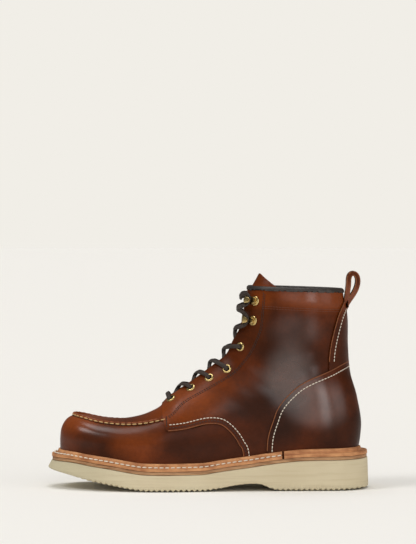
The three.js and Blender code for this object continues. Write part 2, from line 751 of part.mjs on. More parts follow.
// Hook: a riveted base with a plate that curls up and back over the lace
function hook() {
  const radius = hookBaseDiameter / 2;
  const base = new THREE.CylinderGeometry(radius - hookBaseTaper, radius, hookBaseRise, eyeletSides);
  base.rotateX(Math.PI / 2);
  base.translate(0, 0, hookSeat + hookBaseRise / 2);
  const floor = hookSeat + hookFloorShare * hookBaseRise;
  const curl = (hookMouth + 2 * hookPlateThickness) / 2;
  const shape = new THREE.Shape();
  shape.moveTo(0, floor);
  shape.lineTo(hookReach, floor);
  shape.absarc(hookReach, floor + curl, curl, -Math.PI / 2, Math.PI / 2);
  shape.lineTo(hookLipShare * hookReach, floor + 2 * curl);
  shape.lineTo(hookLipShare * hookReach, floor + 2 * curl - hookPlateThickness);
  shape.lineTo(hookReach, floor + 2 * curl - hookPlateThickness);
  shape.absarc(hookReach, floor + curl, curl - hookPlateThickness, Math.PI / 2, -Math.PI / 2, true);
  shape.lineTo(0, floor + hookPlateThickness);
  shape.closePath();
  const plate = new THREE.ExtrudeGeometry(shape, {
    depth: hookPlateWidth, bevelEnabled: false, steps: 1, curveSegments: hookPieces,
  });
  plate.rotateX(Math.PI / 2);
  plate.translate(0, hookPlateWidth / 2, 0);
  return geometryOf(solid(base).add(solid(plate)));
}

function tube(points) {
  const path = new THREE.CatmullRomCurve3(points);
  const outline = new THREE.Shape().absarc(0, 0, laceDiameter / 2, 0, 2 * Math.PI);
  return solid(new THREE.ExtrudeGeometry(outline, {
    extrudePath: path, steps: laceSteps, bevelEnabled: false, curveSegments: laceSides / 2,
  }));
}

const hookShift = (hookPlateWidth + laceDiameter) / 2 - hookTightness;
const laceLift = eyeletSeat + eyeletRise + laceRoom + laceDiameter / 2;

// One strand from a fitting on one side to a fitting on the other, over the throat
function strand(fromRow, toRow, side) {
  const seatAtRow = (row, turned, shift) => {
    const place = facingPlace(row, turned, hookRows.includes(row) ? hookSetback : eyeletSetback);
    return place.point.addScaledVector(place.normal, laceLift).addScaledVector(place.along, shift);
  };
  const middleRow = (fromRow + toRow) / 2;
  const middle = lastPoint(middleRow, Math.PI, quarterStep + laceLift + middleRoom);
  const shiftAt = (row) => (hookRows.includes(row) ? hookShift : laceShift);
  const startShift = toRow > fromRow ? shiftAt(fromRow) : -shiftAt(fromRow);
  const start = seatAtRow(fromRow, side, startShift);
  const end = seatAtRow(toRow, -side, -shiftAt(toRow));
  const brow = (row, turned) => {
    const angle = crestAngle(row, turned * throatHalfGap(row));
    return lastPoint(row, angle, quarterStep + laceLift + browRoom);
  };
  const pitch = facingPlace(fromRow, side, 0).point.distanceTo(facingPlace(toRow, side, 0).point);
  const rowsPerLength = pitch > 0 ? (toRow - fromRow) / pitch : 0;
  const [low, high] = [fromRow + startShift * rowsPerLength, toRow - shiftAt(toRow) * rowsPerLength];
  const [near, far] = [browShare, 1 - browShare].map((share) => THREE.MathUtils.lerp(low, high, share));
  return tube([start, brow(near, side), middle, brow(far, -side), end]);
}

function crossing(fromRow, toRow) {
  return strand(fromRow, toRow, -1).add(strand(fromRow, toRow, 1));
}

// Finishes
const creamRubber = new THREE.MeshStandardMaterial({ color: 0xe2d8bf, roughness: 0.75, metalness: 0 });
const tanLayer = new THREE.MeshStandardMaterial({ color: 0xb98257, roughness: 0.7, metalness: 0 });
const tanWelt = new THREE.MeshStandardMaterial({ color: 0xc08d5c, roughness: 0.65, metalness: 0 });
const brownLeather = new THREE.MeshStandardMaterial({ color: 0x5c3018, roughness: 0.5, metalness: 0 });
const tongueLeather = new THREE.MeshStandardMaterial({ color: 0x6a3a20, roughness: 0.6, metalness: 0 });
const paleInsole = new THREE.MeshStandardMaterial({ color: 0xb59a78, roughness: 0.8, metalness: 0 });
const blackTape = new THREE.MeshStandardMaterial({ color: 0x2a2523, roughness: 0.55, metalness: 0 });
const brass = new THREE.MeshStandardMaterial({ color: 0xc9a765, roughness: 0.3, metalness: 1 });
const darkLace = new THREE.MeshStandardMaterial({ color: 0x241a14, roughness: 0.8, metalness: 0 });

const boot = new THREE.Group();

function add(name, geometry, material, place = null) {
  const mesh = new THREE.Mesh(geometry, material.clone());
  mesh.name = name;
  if (place) {
    mesh.position.copy(place.point);
    mesh.quaternion.copy(place.turn);
  }
  boot.add(mesh);
}

function addSolid(name, body, material) {
  add(name, geometryOf(body), material);
}

addSolid('outsole', outsole(), creamRubber);
addSolid('midsole', midsole(), tanLayer);
const welt = weltRing();
addSolid('welt', welt.intersect(sideBand(-soleLength, weltJointX - fitGap)), tanWelt);
addSolid('heel_rand', welt.intersect(sideBand(weltJointX, soleLength)), tanWelt);
addSolid('insole', insole(), paleInsole);
addSolid('upper', upper(), brownLeather);
addSolid('heel_counter', heelCounter(), brownLeather);
addSolid('backstay', backstay(), brownLeather);
addSolid('collar_binding', collarBinding(), blackTape);
addSolid('tongue', tongue(), tongueLeather);

const sideNames = new Map([[-1, 'outer'], [1, 'inner']]);
for (const [side, sideName] of sideNames) {
  eyeletRows.forEach((row, i) => {
    const { point, normal } = facingPlace(row, side, eyeletSetback);
    const turn = new THREE.Quaternion().setFromUnitVectors(new THREE.Vector3(0, 1, 0), normal);
    add(`eyelet_${sideName}_${i + 1}`, eyelet(), brass, { point, turn });
  });
  hookRows.forEach((row, i) => {
    const { point, normal, across } = facingPlace(row, side, hookSetback);
    const basis = new THREE.Matrix4().makeBasis(across, normal.clone().cross(across), normal);
    const turn = new THREE.Quaternion().setFromRotationMatrix(basis);
    add(`hook_${sideName}_${i + 1}`, hook(), brass, { point, turn });
  });
}

const laceRows = [...eyeletRows, ...hookRows];
addSolid('lace_bar_low', strand(laceRows[0], laceRows[0], -1), darkLace);
laceRows.slice(1).forEach((row, i) => addSolid(`lace_cross_${i + 1}`, crossing(laceRows[i], row), darkLace));

export default boot;
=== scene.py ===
"""Left lace-up work boot with a moccasin toe and a wedge sole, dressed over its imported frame.

Sizes are in millimetres, as in the frame, and become metres when a mesh is laid. The toe points
to -X, the outer side faces -Y and the floor is z = 0.
"""
import logging
import math
from dataclasses import dataclass, field
from enum import Enum
from typing import Any, Callable, Iterable, Optional, Sequence

import bpy
import numpy as np
from mathutils import Matrix, Vector
from mathutils.bvhtree import BVHTree


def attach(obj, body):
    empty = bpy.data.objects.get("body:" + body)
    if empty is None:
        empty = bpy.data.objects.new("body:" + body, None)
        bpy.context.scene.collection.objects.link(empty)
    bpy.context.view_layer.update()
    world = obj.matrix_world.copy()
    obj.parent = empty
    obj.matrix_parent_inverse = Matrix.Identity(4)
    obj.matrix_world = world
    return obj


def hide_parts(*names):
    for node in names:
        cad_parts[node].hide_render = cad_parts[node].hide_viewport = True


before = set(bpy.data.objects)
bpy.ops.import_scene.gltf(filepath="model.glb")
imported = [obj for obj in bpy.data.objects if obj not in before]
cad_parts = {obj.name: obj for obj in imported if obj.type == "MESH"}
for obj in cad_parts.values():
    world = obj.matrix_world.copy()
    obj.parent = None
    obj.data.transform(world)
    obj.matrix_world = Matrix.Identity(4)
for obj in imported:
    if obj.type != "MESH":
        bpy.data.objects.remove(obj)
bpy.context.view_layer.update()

logging.basicConfig(level=logging.INFO, format="%(message)s")
log = logging.getLogger("boot")

MM = 0.001
Array = np.ndarray


class Side(Enum):
    """A side of the boot, with the sign of its Y."""

    OUTER = -1
    INNER = 1


def smooth(places: Sequence[float], values: Sequence[float], at: Any) -> Array:
    """Reads a table on a smooth line that keeps its flat stretches flat.

    Args:
        places: Rising places of the rows.
        values: Values at those places.
        at: Places to read.

    Returns:
        The values there.
    """
    x, v = np.asarray(places, float), np.asarray(values, float)
    at = np.clip(np.asarray(at, float), x[0], x[-1])
    chords = np.diff(v) / np.diff(x)
    before, after = chords[:-1], chords[1:]
    product = before * after
    total = np.where(before + after == 0, 1, before + after)
    slopes = np.concatenate([chords[:1], np.where(product > 0, 2 * product / total, 0), chords[-1:]])
    i = np.clip(np.searchsorted(x, at, side="right") - 1, 0, len(x) - 2)
    span = x[i + 1] - x[i]
    t = (at - x[i]) / span
    bend = t * t * (3 - 2 * t)
    return (v[i] + (v[i + 1] - v[i]) * bend + t * (1 - t) ** 2 * span * slopes[i]
            + t * t * (t - 1) * span * slopes[i + 1])


def unit(vectors: Array) -> Array:
    """Scales each vector to length one."""
    return vectors / np.maximum(np.linalg.norm(vectors, axis=-1, keepdims=True), 1e-12)


def lerp(start: Any, end: Any, share: Any) -> Any:
    """Value a share of the way from start to end."""
    return start + (end - start) * share


def resample(points: Sequence[Sequence[float]], count: int) -> Array:
    """Evenly spaced points on a smooth curve through some points.

    Args:
        points: Points the curve passes.
        count: Number of points to give back.

    Returns:
        The points, one row each.
    """
    given = np.asarray(points, float)
    padded = np.vstack([2 * given[0] - given[1], given, 2 * given[-1] - given[-2]])
    fine = []
    for i in range(len(given) - 1):
        a, b, c, d = padded[i:i + 4]
        for t in np.linspace(0, 1, 24, endpoint=False):
            fine.append(0.5 * (2 * b + (c - a) * t + (2 * a - 5 * b + 4 * c - d) * t * t
                               + (3 * b - a - 3 * c + d) * t ** 3))
    fine = np.vstack([fine, given[-1:]])
    length = np.concatenate([[0], np.cumsum(np.linalg.norm(np.diff(fine, axis=0), axis=1))])
    places = np.linspace(0, length[-1], count)
    return np.stack([np.interp(places, length, fine[:, k]) for k in range(fine.shape[1])], axis=1)


def path_length(points: Array) -> float:
    """Length of a path through points."""
    return float(np.linalg.norm(np.diff(points, axis=0), axis=1).sum())


# Forms of the boot


@dataclass(frozen=True)
class SoleForm:
    """Outline and heights of the sole.

    The outline table holds share from toe to heel, half width and centre as shares of the ball
    width. The profile table holds share, spring, arch, fore and wedge.
    """

    length: float = 310.0
    ball_width: float = 112.0
    toe_spring: float = 18.0
    arch_lift: float = 6.6
    fore: float = 15.0
    heel: float = 28.3
    toe_flare: float = 3.2
    side_flare: float = 0.8
    midsole: float = 3.2
    welt: float = 2.8
    gap: float = 0.3
    toe_round: tuple[float, float] = (0.20, 2.2)
    heel_round: tuple[float, float] = (0.125, 2.25)
    outline: tuple[tuple[float, ...], ...] = (
        (0.00, 0.405, 0.086), (0.10, 0.430, 0.070), (0.20, 0.475, 0.036), (0.33, 0.500, 0.000),
        (0.45, 0.458, -0.014), (0.55, 0.403, -0.030), (0.65, 0.372, -0.034), (0.76, 0.362, -0.020),
        (0.87, 0.368, -0.005), (1.00, 0.360, 0.000))
    profile: tuple[tuple[float, ...], ...] = (
        (0.00, 1.00, 0.00, 0.50, 0.00), (0.08, 0.73, 0.00, 0.80, 0.00), (0.13, 0.50, 0.00, 0.93, 0.00),
        (0.20, 0.29, 0.00, 1.00, 0.00), (0.26, 0.10, 0.00, 1.02, 0.00), (0.31, 0.00, 0.00, 1.02, 0.00),
        (0.36, 0.00, 0.00, 1.00, 0.00), (0.48, 0.00, 0.00, 1.00, 0.03), (0.53, 0.00, 0.30, 1.00, 0.20),
        (0.58, 0.00, 0.75, 1.00, 0.36), (0.63, 0.00, 1.00, 1.00, 0.51), (0.66, 0.00, 0.98, 1.00, 0.62),
        (0.68, 0.00, 0.60, 1.00, 0.69), (0.70, 0.00, 0.12, 1.00, 0.75), (0.72, 0.00, 0.00, 1.00, 0.81),
        (0.80, 0.00, 0.00, 1.00, 0.97), (0.87, 0.00, 0.00, 1.00, 1.00), (0.95, 0.02, 0.00, 1.00, 1.00),
        (1.00, 0.07, 0.00, 1.00, 0.98))
    ease: float = 0.022

    def _read(self, rows: tuple, column: int, share: Any) -> Array:
        """Reads one column of a table."""
        return smooth([row[0] for row in rows], [row[column] for row in rows], share)

    def _eased(self, column: int, share: Any) -> Array:
        """Reads a column of the profile with its corners eased.

        Args:
            column: Column of the profile.
            share: Places, as shares of the sole's length.

        Returns:
            The values there.
        """
        turns = np.linspace(-self.ease, self.ease, 7)
        weights = 1.15 - np.abs(turns) / self.ease
        reads = [w * self._read(self.profile, column, np.asarray(share) + t) for t, w in zip(turns, weights)]
        return sum(reads) / weights.sum()

    def share(self, x: Any) -> Array:
        """Share along the sole of an x place."""
        return np.clip(np.asarray(x, float) / self.length + 0.5, 0, 1)

    def spring(self, x: Any) -> Array:
        """Height of the toe spring."""
        return self.toe_spring * self._eased(1, self.share(x))

    def ground(self, x: Any) -> Array:
        """Underside of the sole."""
        return self.spring(x) + self.arch_lift * self._eased(2, self.share(x))

    def outsole_top(self, x: Any) -> Array:
        """Top of the outsole.

        Args:
            x: Places along the sole.

        Returns:
            The heights there.
        """
        share = self.share(x)
        fore = self.fore * self._eased(3, share)
        return self.spring(x) + lerp(fore, self.heel, self._eased(4, share))

    def midsole_top(self, x: Any) -> Array:
        """Top of the midsole, from which the last is measured."""
        return self.outsole_top(x) + self.gap + self.midsole

    def seat(self, x: Any) -> Array:
        """Underside of welt and upper."""
        return self.midsole_top(x) + self.gap

    def welt_top(self, x: Any) -> Array:
        """Top of the welt's ledge."""
        return self.seat(x) + self.welt

    def flare(self, share: Any) -> Array:
        """How far the sole's top edge lies inside its foot."""
        reach = np.clip(1 - np.asarray(share, float) / self.toe_round[0], 0, 1)
        return self.side_flare + (self.toe_flare - self.side_flare) * reach

    def station(self, share: Any, inset: Any) -> tuple[Array, Array, Array]:
        """Place and two edges of the outline.

        Args:
            share: Share from toe to heel.
            inset: How far the outline is drawn in.

        Returns:
            x, the outer edge's y and the inner edge's y.
        """
        share = np.asarray(share, float)
        x = lerp(-self.length / 2 + inset, self.length / 2 - inset, share)
        rounding = np.ones_like(share)
        for at, (reach, power) in ((share, self.toe_round), (1 - share, self.heel_round)):
            near = np.clip(at / reach, 0, 1)
            rounding = rounding * (1 - (1 - near) ** power) ** (1 / power)
        half = (self.ball_width * self._read(self.outline, 1, share) - inset) * rounding
        centre = self.ball_width * self._read(self.outline, 2, share)
        return x, centre - half, centre + half


SOLE = SoleForm()


@dataclass(frozen=True)
class Crease:
    """A soft trough or swelling laid on the side of the boot.

    Attributes:
        x, z: Middle of the crease on the side view.
        angle: Its direction in degrees, up from +X.
        long, wide: How far it runs and how broad it is.
        depth: Depth of the trough, negative for a swelling.
    """

    x: float
    z: float
    angle: float
    long: float
    wide: float
    depth: float

    def at(self, x: Array, z: Array) -> Array:
        """Depth of this crease at places of the side view.

        Args:
            x: Places along the boot.
            z: Their heights.

        Returns:
            The depths.
        """
        turn = math.radians(self.angle)
        along = (x - self.x) * math.cos(turn) + (z - self.z) * math.sin(turn)
        across = -(x - self.x) * math.sin(turn) + (z - self.z) * math.cos(turn)
        return self.depth * np.exp(-(along / self.long) ** 2 - (across / self.wide) ** 2)


@dataclass(frozen=True)
class LastForm:
    """Body of the last, as sections that turn from upright at the toe to level at the collar.

    Each row holds foot along and rise, crest along and rise, outer and inner half widths, place of
    the widest point, powers of the rounding towards foot and crest, and sideways shift.
    """

    length: float = 288.6
    toe_room: float = 11.3
    ball_width: float = 100.0
    shaft: float = 158.0
    toe_swing: float = 9.0
    collar_row: float = 18.0
    open_row: float = 19.0
    step: float = 0.03
    rows: tuple[tuple[float, ...], ...] = (
        (0.000, 0.096, 0.000, 0.096, 0, 0, 0.42, 2.4, 2.4, 1),
        (0.005, 0.014, 0.005, 0.172, 0.14, 0.14, 0.42, 2.6, 2.4, 1),
        (0.023, -0.027, 0.023, 0.228, 0.25, 0.24, 0.42, 3.2, 2.5, 0.96),
        (0.053, -0.030, 0.053, 0.256, 0.345, 0.32, 0.44, 4.0, 2.6, 0.85),
        (0.093, -0.030, 0.093, 0.264, 0.405, 0.38, 0.45, 4.6, 2.7, 0.70),
        (0.151, -0.029, 0.151, 0.261, 0.455, 0.43, 0.45, 5.0, 2.7, 0.48),
        (0.228, -0.027, 0.228, 0.284, 0.490, 0.475, 0.42, 5.0, 2.5, 0.20),
        (0.325, -0.026, 0.325, 0.358, 0.500, 0.50, 0.36, 4.6, 2.2, 0.00),
        (0.446, -0.027, 0.374, 0.440, 0.480, 0.445, 0.32, 4.4, 2.0, 0.05),
        (0.567, -0.026, 0.437, 0.524, 0.435, 0.385, 0.29, 4.2, 1.9, 0.10),
        (0.699, -0.028, 0.491, 0.602, 0.390, 0.350, 0.27, 4.0, 1.9, 0.10),
        (0.837, -0.028, 0.529, 0.648, 0.360, 0.338, 0.28, 3.4, 1.95, 0.08),
        (0.966, -0.028, 0.553, 0.684, 0.352, 0.338, 0.34, 2.6, 2.0, 0.05),
        (1.000, 0.150, 0.568, 0.727, 0.352, 0.342, 0.42, 2.2, 2.05, 0.03),
        (0.987, 0.341, 0.583, 0.770, 0.356, 0.350, 0.46, 2.1, 2.1, 0.02),
        (0.964, 0.493, 0.600, 0.814, 0.362, 0.358, 0.48, 2.1, 2.1, 0),
        (0.956, 0.664, 0.612, 0.880, 0.366, 0.364, 0.49, 2.15, 2.15, 0),
        (0.955, 0.822, 0.619, 0.965, 0.366, 0.366, 0.50, 2.2, 2.2, 0),
        (0.945, 0.988, 0.629, 1.050, 0.366, 0.366, 0.50, 2.2, 2.2, 0),
        (0.940, 1.070, 0.636, 1.130, 0.366, 0.366, 0.50, 2.2, 2.2, 0))
    creases: tuple[Crease, ...] = (
        Crease(-42, 66, 62, 16, 4.0, 0.45), Crease(-30, 72, 60, 13, 3.2, 0.35),
        Crease(20, 88, -38, 20, 6.5, 0.45), Crease(34, 100, -34, 18, 5.5, 0.35),
        Crease(98, 118, 20, 18, 6.0, 0.50), Crease(92, 132, 12, 22, 7.0, 0.35),
        Crease(62, 66, 35, 26, 9.0, 0.35), Crease(88, 180, -2, 38, 4.2, -0.45),
        Crease(88, 173.4, -2.5, 44, 1.8, 0.45), Crease(30, 52, 8, 30, 9.0, -0.30))

    @property
    def toe_x(self) -> float:
        """Place of the last's tip."""
        return -SOLE.length / 2 + self.toe_room

    def value(self, column: int, row: Array) -> Array:
        """Value of a column between the rows, on one curve through all of them.

        Args:
            column: Column of the sections.
            row: Places between the rows.

        Returns:
            The values there.
        """
        table = np.asarray(self.rows)[:, column]
        last = len(table) - 1
        row = np.asarray(row, float)
        i = np.minimum(np.floor(row).astype(int), last - 1)
        t = row - i
        before, start, end, after = (table[np.clip(i + k, 0, last)] for k in (-1, 0, 1, 2))
        come, leave = (end - before) / 2, (after - start) / 2
        return (start + t * come + t * t * (3 * (end - start) - 2 * come - leave)
                + t ** 3 * (2 * (start - end) + come + leave))

    def side_point(self, along: Any, rise: Any) -> tuple[Array, Array]:
        """Place on the side view of shares of length and shaft height."""
        x = self.toe_x + np.asarray(along, float) * self.length
        return x, SOLE.midsole_top(x) + np.asarray(rise, float) * self.shaft

    def ends(self, row: Any) -> tuple[Array, Array, Array, Array]:
        """Foot x, foot z, crest x and crest z of sections."""
        return (*self.side_point(self.value(0, row), self.value(1, row)),
                *self.side_point(self.value(2, row), self.value(3, row)))

    def bare(self, row: Array, angle: Array) -> Array:
        """Points of the last itself.

        Args:
            row: Sections.
            angle: 0 at the foot, a quarter turn at the outer side, half a turn at the crest.

        Returns:
            Points in millimetres.
        """
        row, angle = np.broadcast_arrays(np.asarray(row, float), np.asarray(angle, float))
        foot_x, foot_z, crest_x, crest_z = self.ends(row)
        cos, sin = np.cos(angle), np.sin(angle)
        power = 2 / np.where(cos > 0, self.value(7, row), self.value(8, row))
        reach = np.abs(cos) ** power
        widest = self.value(6, row)
        share = np.where(cos > 0, widest * (1 - reach), widest + (1 - widest) * reach)
        half = self.ball_width * np.where(sin > 0, self.value(4, row), self.value(5, row))
        y = self.toe_swing * self.value(9, row) - np.sign(sin) * half * np.abs(sin) ** power
        return np.stack([lerp(foot_x, crest_x, share), y, lerp(foot_z, crest_z, share)], axis=-1)

    def normal(self, row: Array, angle: Array) -> Array:
        """Outward directions of the last.

        Args:
            row: Sections of the places.
            angle: Their angles.

        Returns:
            The directions.
        """
        row, angle = np.broadcast_arrays(np.asarray(row, float), np.asarray(angle, float))
        low, high = np.maximum(row - self.step, 0), np.minimum(row + self.step, self.open_row)
        ahead = self.bare(high, angle) - self.bare(low, angle)
        around = self.bare(row, angle + self.step) - self.bare(row, angle - self.step)
        normal = unit(np.cross(ahead, around))
        normal[row < self.step] = (-1, 0, 0)
        top = row >= self.collar_row
        if np.any(top):
            foot_x, foot_z, crest_x, crest_z = self.ends(row)
            level = unit(np.stack([crest_x - foot_x, crest_z - foot_z], axis=-1))
            upward = np.stack([level[..., 1], np.zeros_like(row), -level[..., 0]], axis=-1)
            flat = unit(normal - upward * (normal * upward).sum(-1, keepdims=True))
            normal[top] = flat[top]
        return normal

    def relief(self, points: Array) -> Array:
        """Height of the creases over the plain form, faded at the inner side.

        Args:
            points: Places on the last.

        Returns:
            The heights there.
        """
        x, z = points[..., 0], points[..., 2]
        depth = sum(crease.at(x, z) for crease in self.creases)
        steady = np.clip(np.abs(points[..., 1]) / 22, 0, 1) ** 2
        return -depth * steady * np.where(points[..., 1] < 0, 1.0, 0.8)

    def point(self, row: Any, angle: Any, offset: Any, creased: bool = True) -> Array:
        """Points over the last.

        Args:
            row: Sections.
            angle: Angles round them.
            offset: Distance from the last, outwards.
            creased: Whether the creases are added.

        Returns:
            Points in millimetres.
        """
        bare = self.bare(row, angle)
        lift = np.broadcast_to(np.asarray(offset, float), bare.shape[:-1])
        if creased:
            lift = lift + self.relief(bare)
        return bare + self.normal(row, angle) * lift[..., None]

    def crest_angle(self, row: Any, distance: Any) -> Array:
        """Angle at which a section is a distance from its middle on the crest side.

        Args:
            row: Sections.
            distance: Distances, negative towards the outer side.

        Returns:
            The angles.
        """
        row, distance = np.broadcast_arrays(np.asarray(row, float), np.asarray(distance, float))
        half = self.ball_width * np.where(distance < 0, self.value(4, row), self.value(5, row))
        turn = np.arcsin(np.minimum(1, np.abs(distance) / half) ** (self.value(8, row) / 2))
        return math.pi + np.sign(distance) * turn

    def row_at_crest(self, along: Any) -> Array:
        """Row whose crest lies a share along the last."""
        rows = np.linspace(0, self.collar_row, 1801)
        return np.interp(along, self.value(2, rows), rows)


LAST = LastForm()

# The upper's wall, the quarters' step over the vamp, the overlays and the gap under them. Edges and
# seams are drawn on the side view: as shares of the last's length and the shaft, except the moccasin
# seam, whose second number is a half width, and facing and cuff seams, which are x and z places.
WALL, STEP, OVERLAY, GAP = 1.8, 1.5, 1.4, 0.3
COUNTER_OFFSET = STEP + GAP + OVERLAY
QUARTER_CORNER = (0.366, 0.246)
QUARTER_EDGE = (
    (0.344, 0.60), (0.343, 0.400), (0.348, 0.320), (0.358, 0.262), QUARTER_CORNER, (0.423, 0.256),
    (0.474, 0.276), (0.505, 0.278), (0.539, 0.262), (0.565, 0.224), (0.588, 0.171), (0.603, 0.120),
    (0.614, 0.076), (0.624, -0.100))
COUNTER_EDGE = (
    (1.060, 0.600), (0.969, 0.566), (0.901, 0.513), (0.835, 0.465), (0.793, 0.423), (0.751, 0.356),
    (0.728, 0.300), (0.716, 0.246), (0.699, 0.155), (0.694, 0.077), (0.692, -0.100))
BACKSTAY_EDGE = (
    (0.958, 0.940), (0.941, 0.880), (0.928, 0.820), (0.908, 0.680), (0.900, 0.555), (0.899, 0.30))
MOC_SEAM = (
    (0.048, 0.0), (0.056, 0.11), (0.080, 0.205), (0.134, 0.276), (0.190, 0.306), (0.247, 0.328),
    (0.298, 0.346), (0.352, 0.362))
FACING_SEAM = (
    (-38.0, 70.0), (-33.4, 73.6), (-22.9, 84.1), (1.0, 97.6), (21.9, 109.9), (31.0, 118.6),
    (39.4, 129.6), (46.0, 142.9), (49.9, 154.0), (51.6, 168.0), (53.2, 188.5))
CUFF_SEAM = ((51.5, 175.2), (134.0, 171.24))
EYELET_ROWS = (8.0, 8.95, 9.9, 11.05, 13.5)
HOOK_ROWS = (16.05, 17.3)
THROAT_ROW = 7.0
THROAT_LOW, THROAT_HIGH = 17.0, 25.0
EYELET_SETBACK, HOOK_SETBACK = 8.0, 12.5
WELT_JOINT_X = LAST.toe_x + 0.746 * LAST.length


def half_gap(row: Any) -> Array:
    """Half the opening of the throat at a row."""
    share = np.clip((np.asarray(row, float) - THROAT_ROW) / (LAST.collar_row - THROAT_ROW), 0, 1)
    return lerp(THROAT_LOW, THROAT_HIGH, share) / 2


def edge_line(edge: Sequence[Sequence[float]], count: int = 90) -> Array:
    """A drawn edge on the side view as a smooth line of (x, z) places."""
    x, z = LAST.side_point([p[0] for p in edge], [p[1] for p in edge])
    return resample(np.stack([x, z], axis=1), count)


def parallel(line: Array, distance: float) -> Array:
    """A line beside another on the side view, to the right of its direction when positive."""
    tangent = unit(np.gradient(line, axis=0))
    return line + distance * np.stack([tangent[:, 1], -tangent[:, 0]], axis=1)


# Laying meshes


def only(*pieces: bpy.types.Object) -> None:
    """Selects these pieces alone and makes the first one active."""
    bpy.ops.object.select_all(action="DESELECT")
    for piece in pieces:
        piece.select_set(True)
    bpy.context.view_layer.objects.active = pieces[0]


def face_outwards(piece: bpy.types.Object) -> None:
    """Turns all faces of a closed piece outwards.

    Args:
        piece: The piece.
    """
    only(piece)
    bpy.ops.object.mode_set(mode="EDIT")
    bpy.ops.mesh.select_all(action="SELECT")
    bpy.ops.mesh.normals_make_consistent(inside=False)
    bpy.ops.object.mode_set(mode="OBJECT")


def laid_tube(name: str, stations: Array, first: Optional[Array] = None, last: Optional[Array] = None,
              lengthwise: Optional[Array] = None) -> bpy.types.Object:
    """A closed skin through rings of points, shaped from a sphere.

    Args:
        name: Name of the piece.
        stations: Rings by points by xyz, in millimetres.
        first: Middle of the first end, or the mean of its ring.
        last: Middle of the last end, or the mean of its ring.
        lengthwise: Length along the piece of each ring for its UV map, in millimetres.

    Returns:
        The piece.
    """
    rings, around = stations.shape[:2]
    bpy.ops.object.select_all(action="DESELECT")
    bpy.ops.mesh.primitive_uv_sphere_add(segments=around, ring_count=rings + 1, radius=1)
    piece = bpy.context.object
    piece.name = piece.data.name = name
    count = len(piece.data.vertices)
    flat = np.empty(3 * count)
    piece.data.vertices.foreach_get("co", flat)
    ball = flat.reshape(-1, 3)
    ring = np.rint(np.arccos(np.clip(ball[:, 2], -1, 1)) / math.pi * (rings + 1)).astype(int)
    spot = np.rint(np.arctan2(ball[:, 1], ball[:, 0]) / (2 * math.pi) * around).astype(int) % around
    laid = stations[np.clip(ring - 1, 0, rings - 1), spot]
    laid[ring == 0] = stations[0].mean(axis=0) if first is None else first
    laid[ring == rings + 1] = stations[-1].mean(axis=0) if last is None else last
    piece.data.vertices.foreach_set("co", (laid * MM).ravel())
    if lengthwise is not None:
        lay_uv(piece, ring, spot, np.asarray(lengthwise), around)
    piece.data.update()
    face_outwards(piece)
    return piece


def lay_uv(piece: bpy.types.Object, ring: Array, spot: Array, lengthwise: Array, around: int) -> None:
    """Lays a UV map with u along a tube in metres and v once round it.

    Args:
        piece: The tube.
        ring: Ring of each vertex.
        spot: Place of each vertex round its ring.
        lengthwise: Length at each ring in millimetres.
        around: Number of places round a ring.
    """
    layer = piece.data.uv_layers.active or piece.data.uv_layers.new(name="UVMap")
    along = lengthwise[np.clip(ring - 1, 0, len(lengthwise) - 1)] * MM
    for face in piece.data.polygons:
        spots = [spot[piece.data.loops[i].vertex_index] for i in face.loop_indices]
        wraps = max(spots) - min(spots) > around / 2
        for i, place in zip(face.loop_indices, spots):
            turn = place + (around if wraps and place < around / 2 else 0)
            layer.data[i].uv = (along[piece.data.loops[i].vertex_index], turn / around)


def sweep(name: str, path: Array, ups: Array, profile: Array, scale: Optional[Array] = None,
          taper_ends: bool = False) -> bpy.types.Object:
    """A closed profile carried along a path.

    Args:
        name: Name of the piece.
        path: Points of the path in millimetres.
        ups: Upward direction at each point, or one for all.
        profile: Closed outline as (sideways, upwards) places in millimetres.
        scale: Sideways and upward scale at each point.
        taper_ends: Whether the two ends are rounded off.

    Returns:
        The piece.
    """
    tangent = unit(np.gradient(path, axis=0))
    ups = np.broadcast_to(np.asarray(ups, float), path.shape)
    aside = unit(np.cross(tangent, ups))
    upward = np.cross(aside, tangent)
    size = np.ones((len(path), 2)) if scale is None else np.asarray(scale, float).reshape(len(path), 2)
    if taper_ends:
        size = size.copy()
        size[[0, -1]] *= 0.55
        size[[1, -2]] *= 0.88
    outline = profile[None] * size[:, None, :]
    rings = path[:, None] + outline[..., :1] * aside[:, None] + outline[..., 1:] * upward[:, None]
    length = np.concatenate([[0], np.cumsum(np.linalg.norm(np.diff(path, axis=0), axis=1))])
    return laid_tube(name, rings, lengthwise=length)


def oval(width: float, height: float, sides: int = 12, power: float = 2.0) -> Array:
    """A rounded outline, squarer with a higher power.

    Args:
        width: Its width.
        height: Its height.
        sides: Number of corners.
        power: 2 for an ellipse, more for squarer corners.

    Returns:
        The outline.
    """
    turn = np.linspace(0, 2 * math.pi, sides, endpoint=False)
    cos, sin = np.cos(turn), np.sin(turn)
    return np.stack([width / 2 * np.sign(cos) * np.abs(cos) ** (2 / power),
                     height / 2 * np.sign(sin) * np.abs(sin) ** (2 / power)], axis=1)


def prism(name: str, line: Array, material: Optional[bpy.types.Material] = None) -> bpy.types.Object:
    """A side view outline carried across the whole boot, to cut with.

    Args:
        name: Name of the cutter.
        line: Outline as (x, z) places in millimetres.
        material: Finish that its cuts leave.

    Returns:
        The cutter.
    """
    bpy.ops.object.select_all(action="DESELECT")
    bpy.ops.mesh.primitive_cylinder_add(vertices=len(line), radius=1, depth=2, end_fill_type="NGON")
    piece = bpy.context.object
    piece.name = name
    reach = 2 * SOLE.ball_width
    for vertex in piece.data.vertices:
        share = math.atan2(vertex.co.x, vertex.co.y) / (2 * math.pi)
        x, z = line[round(share * len(line)) % len(line)]
        vertex.co = (x * MM, (reach if vertex.co.z > 0 else -reach) * MM, z * MM)
    piece.data.update()
    face_outwards(piece)
    if material:
        piece.data.materials.append(material)
    return piece


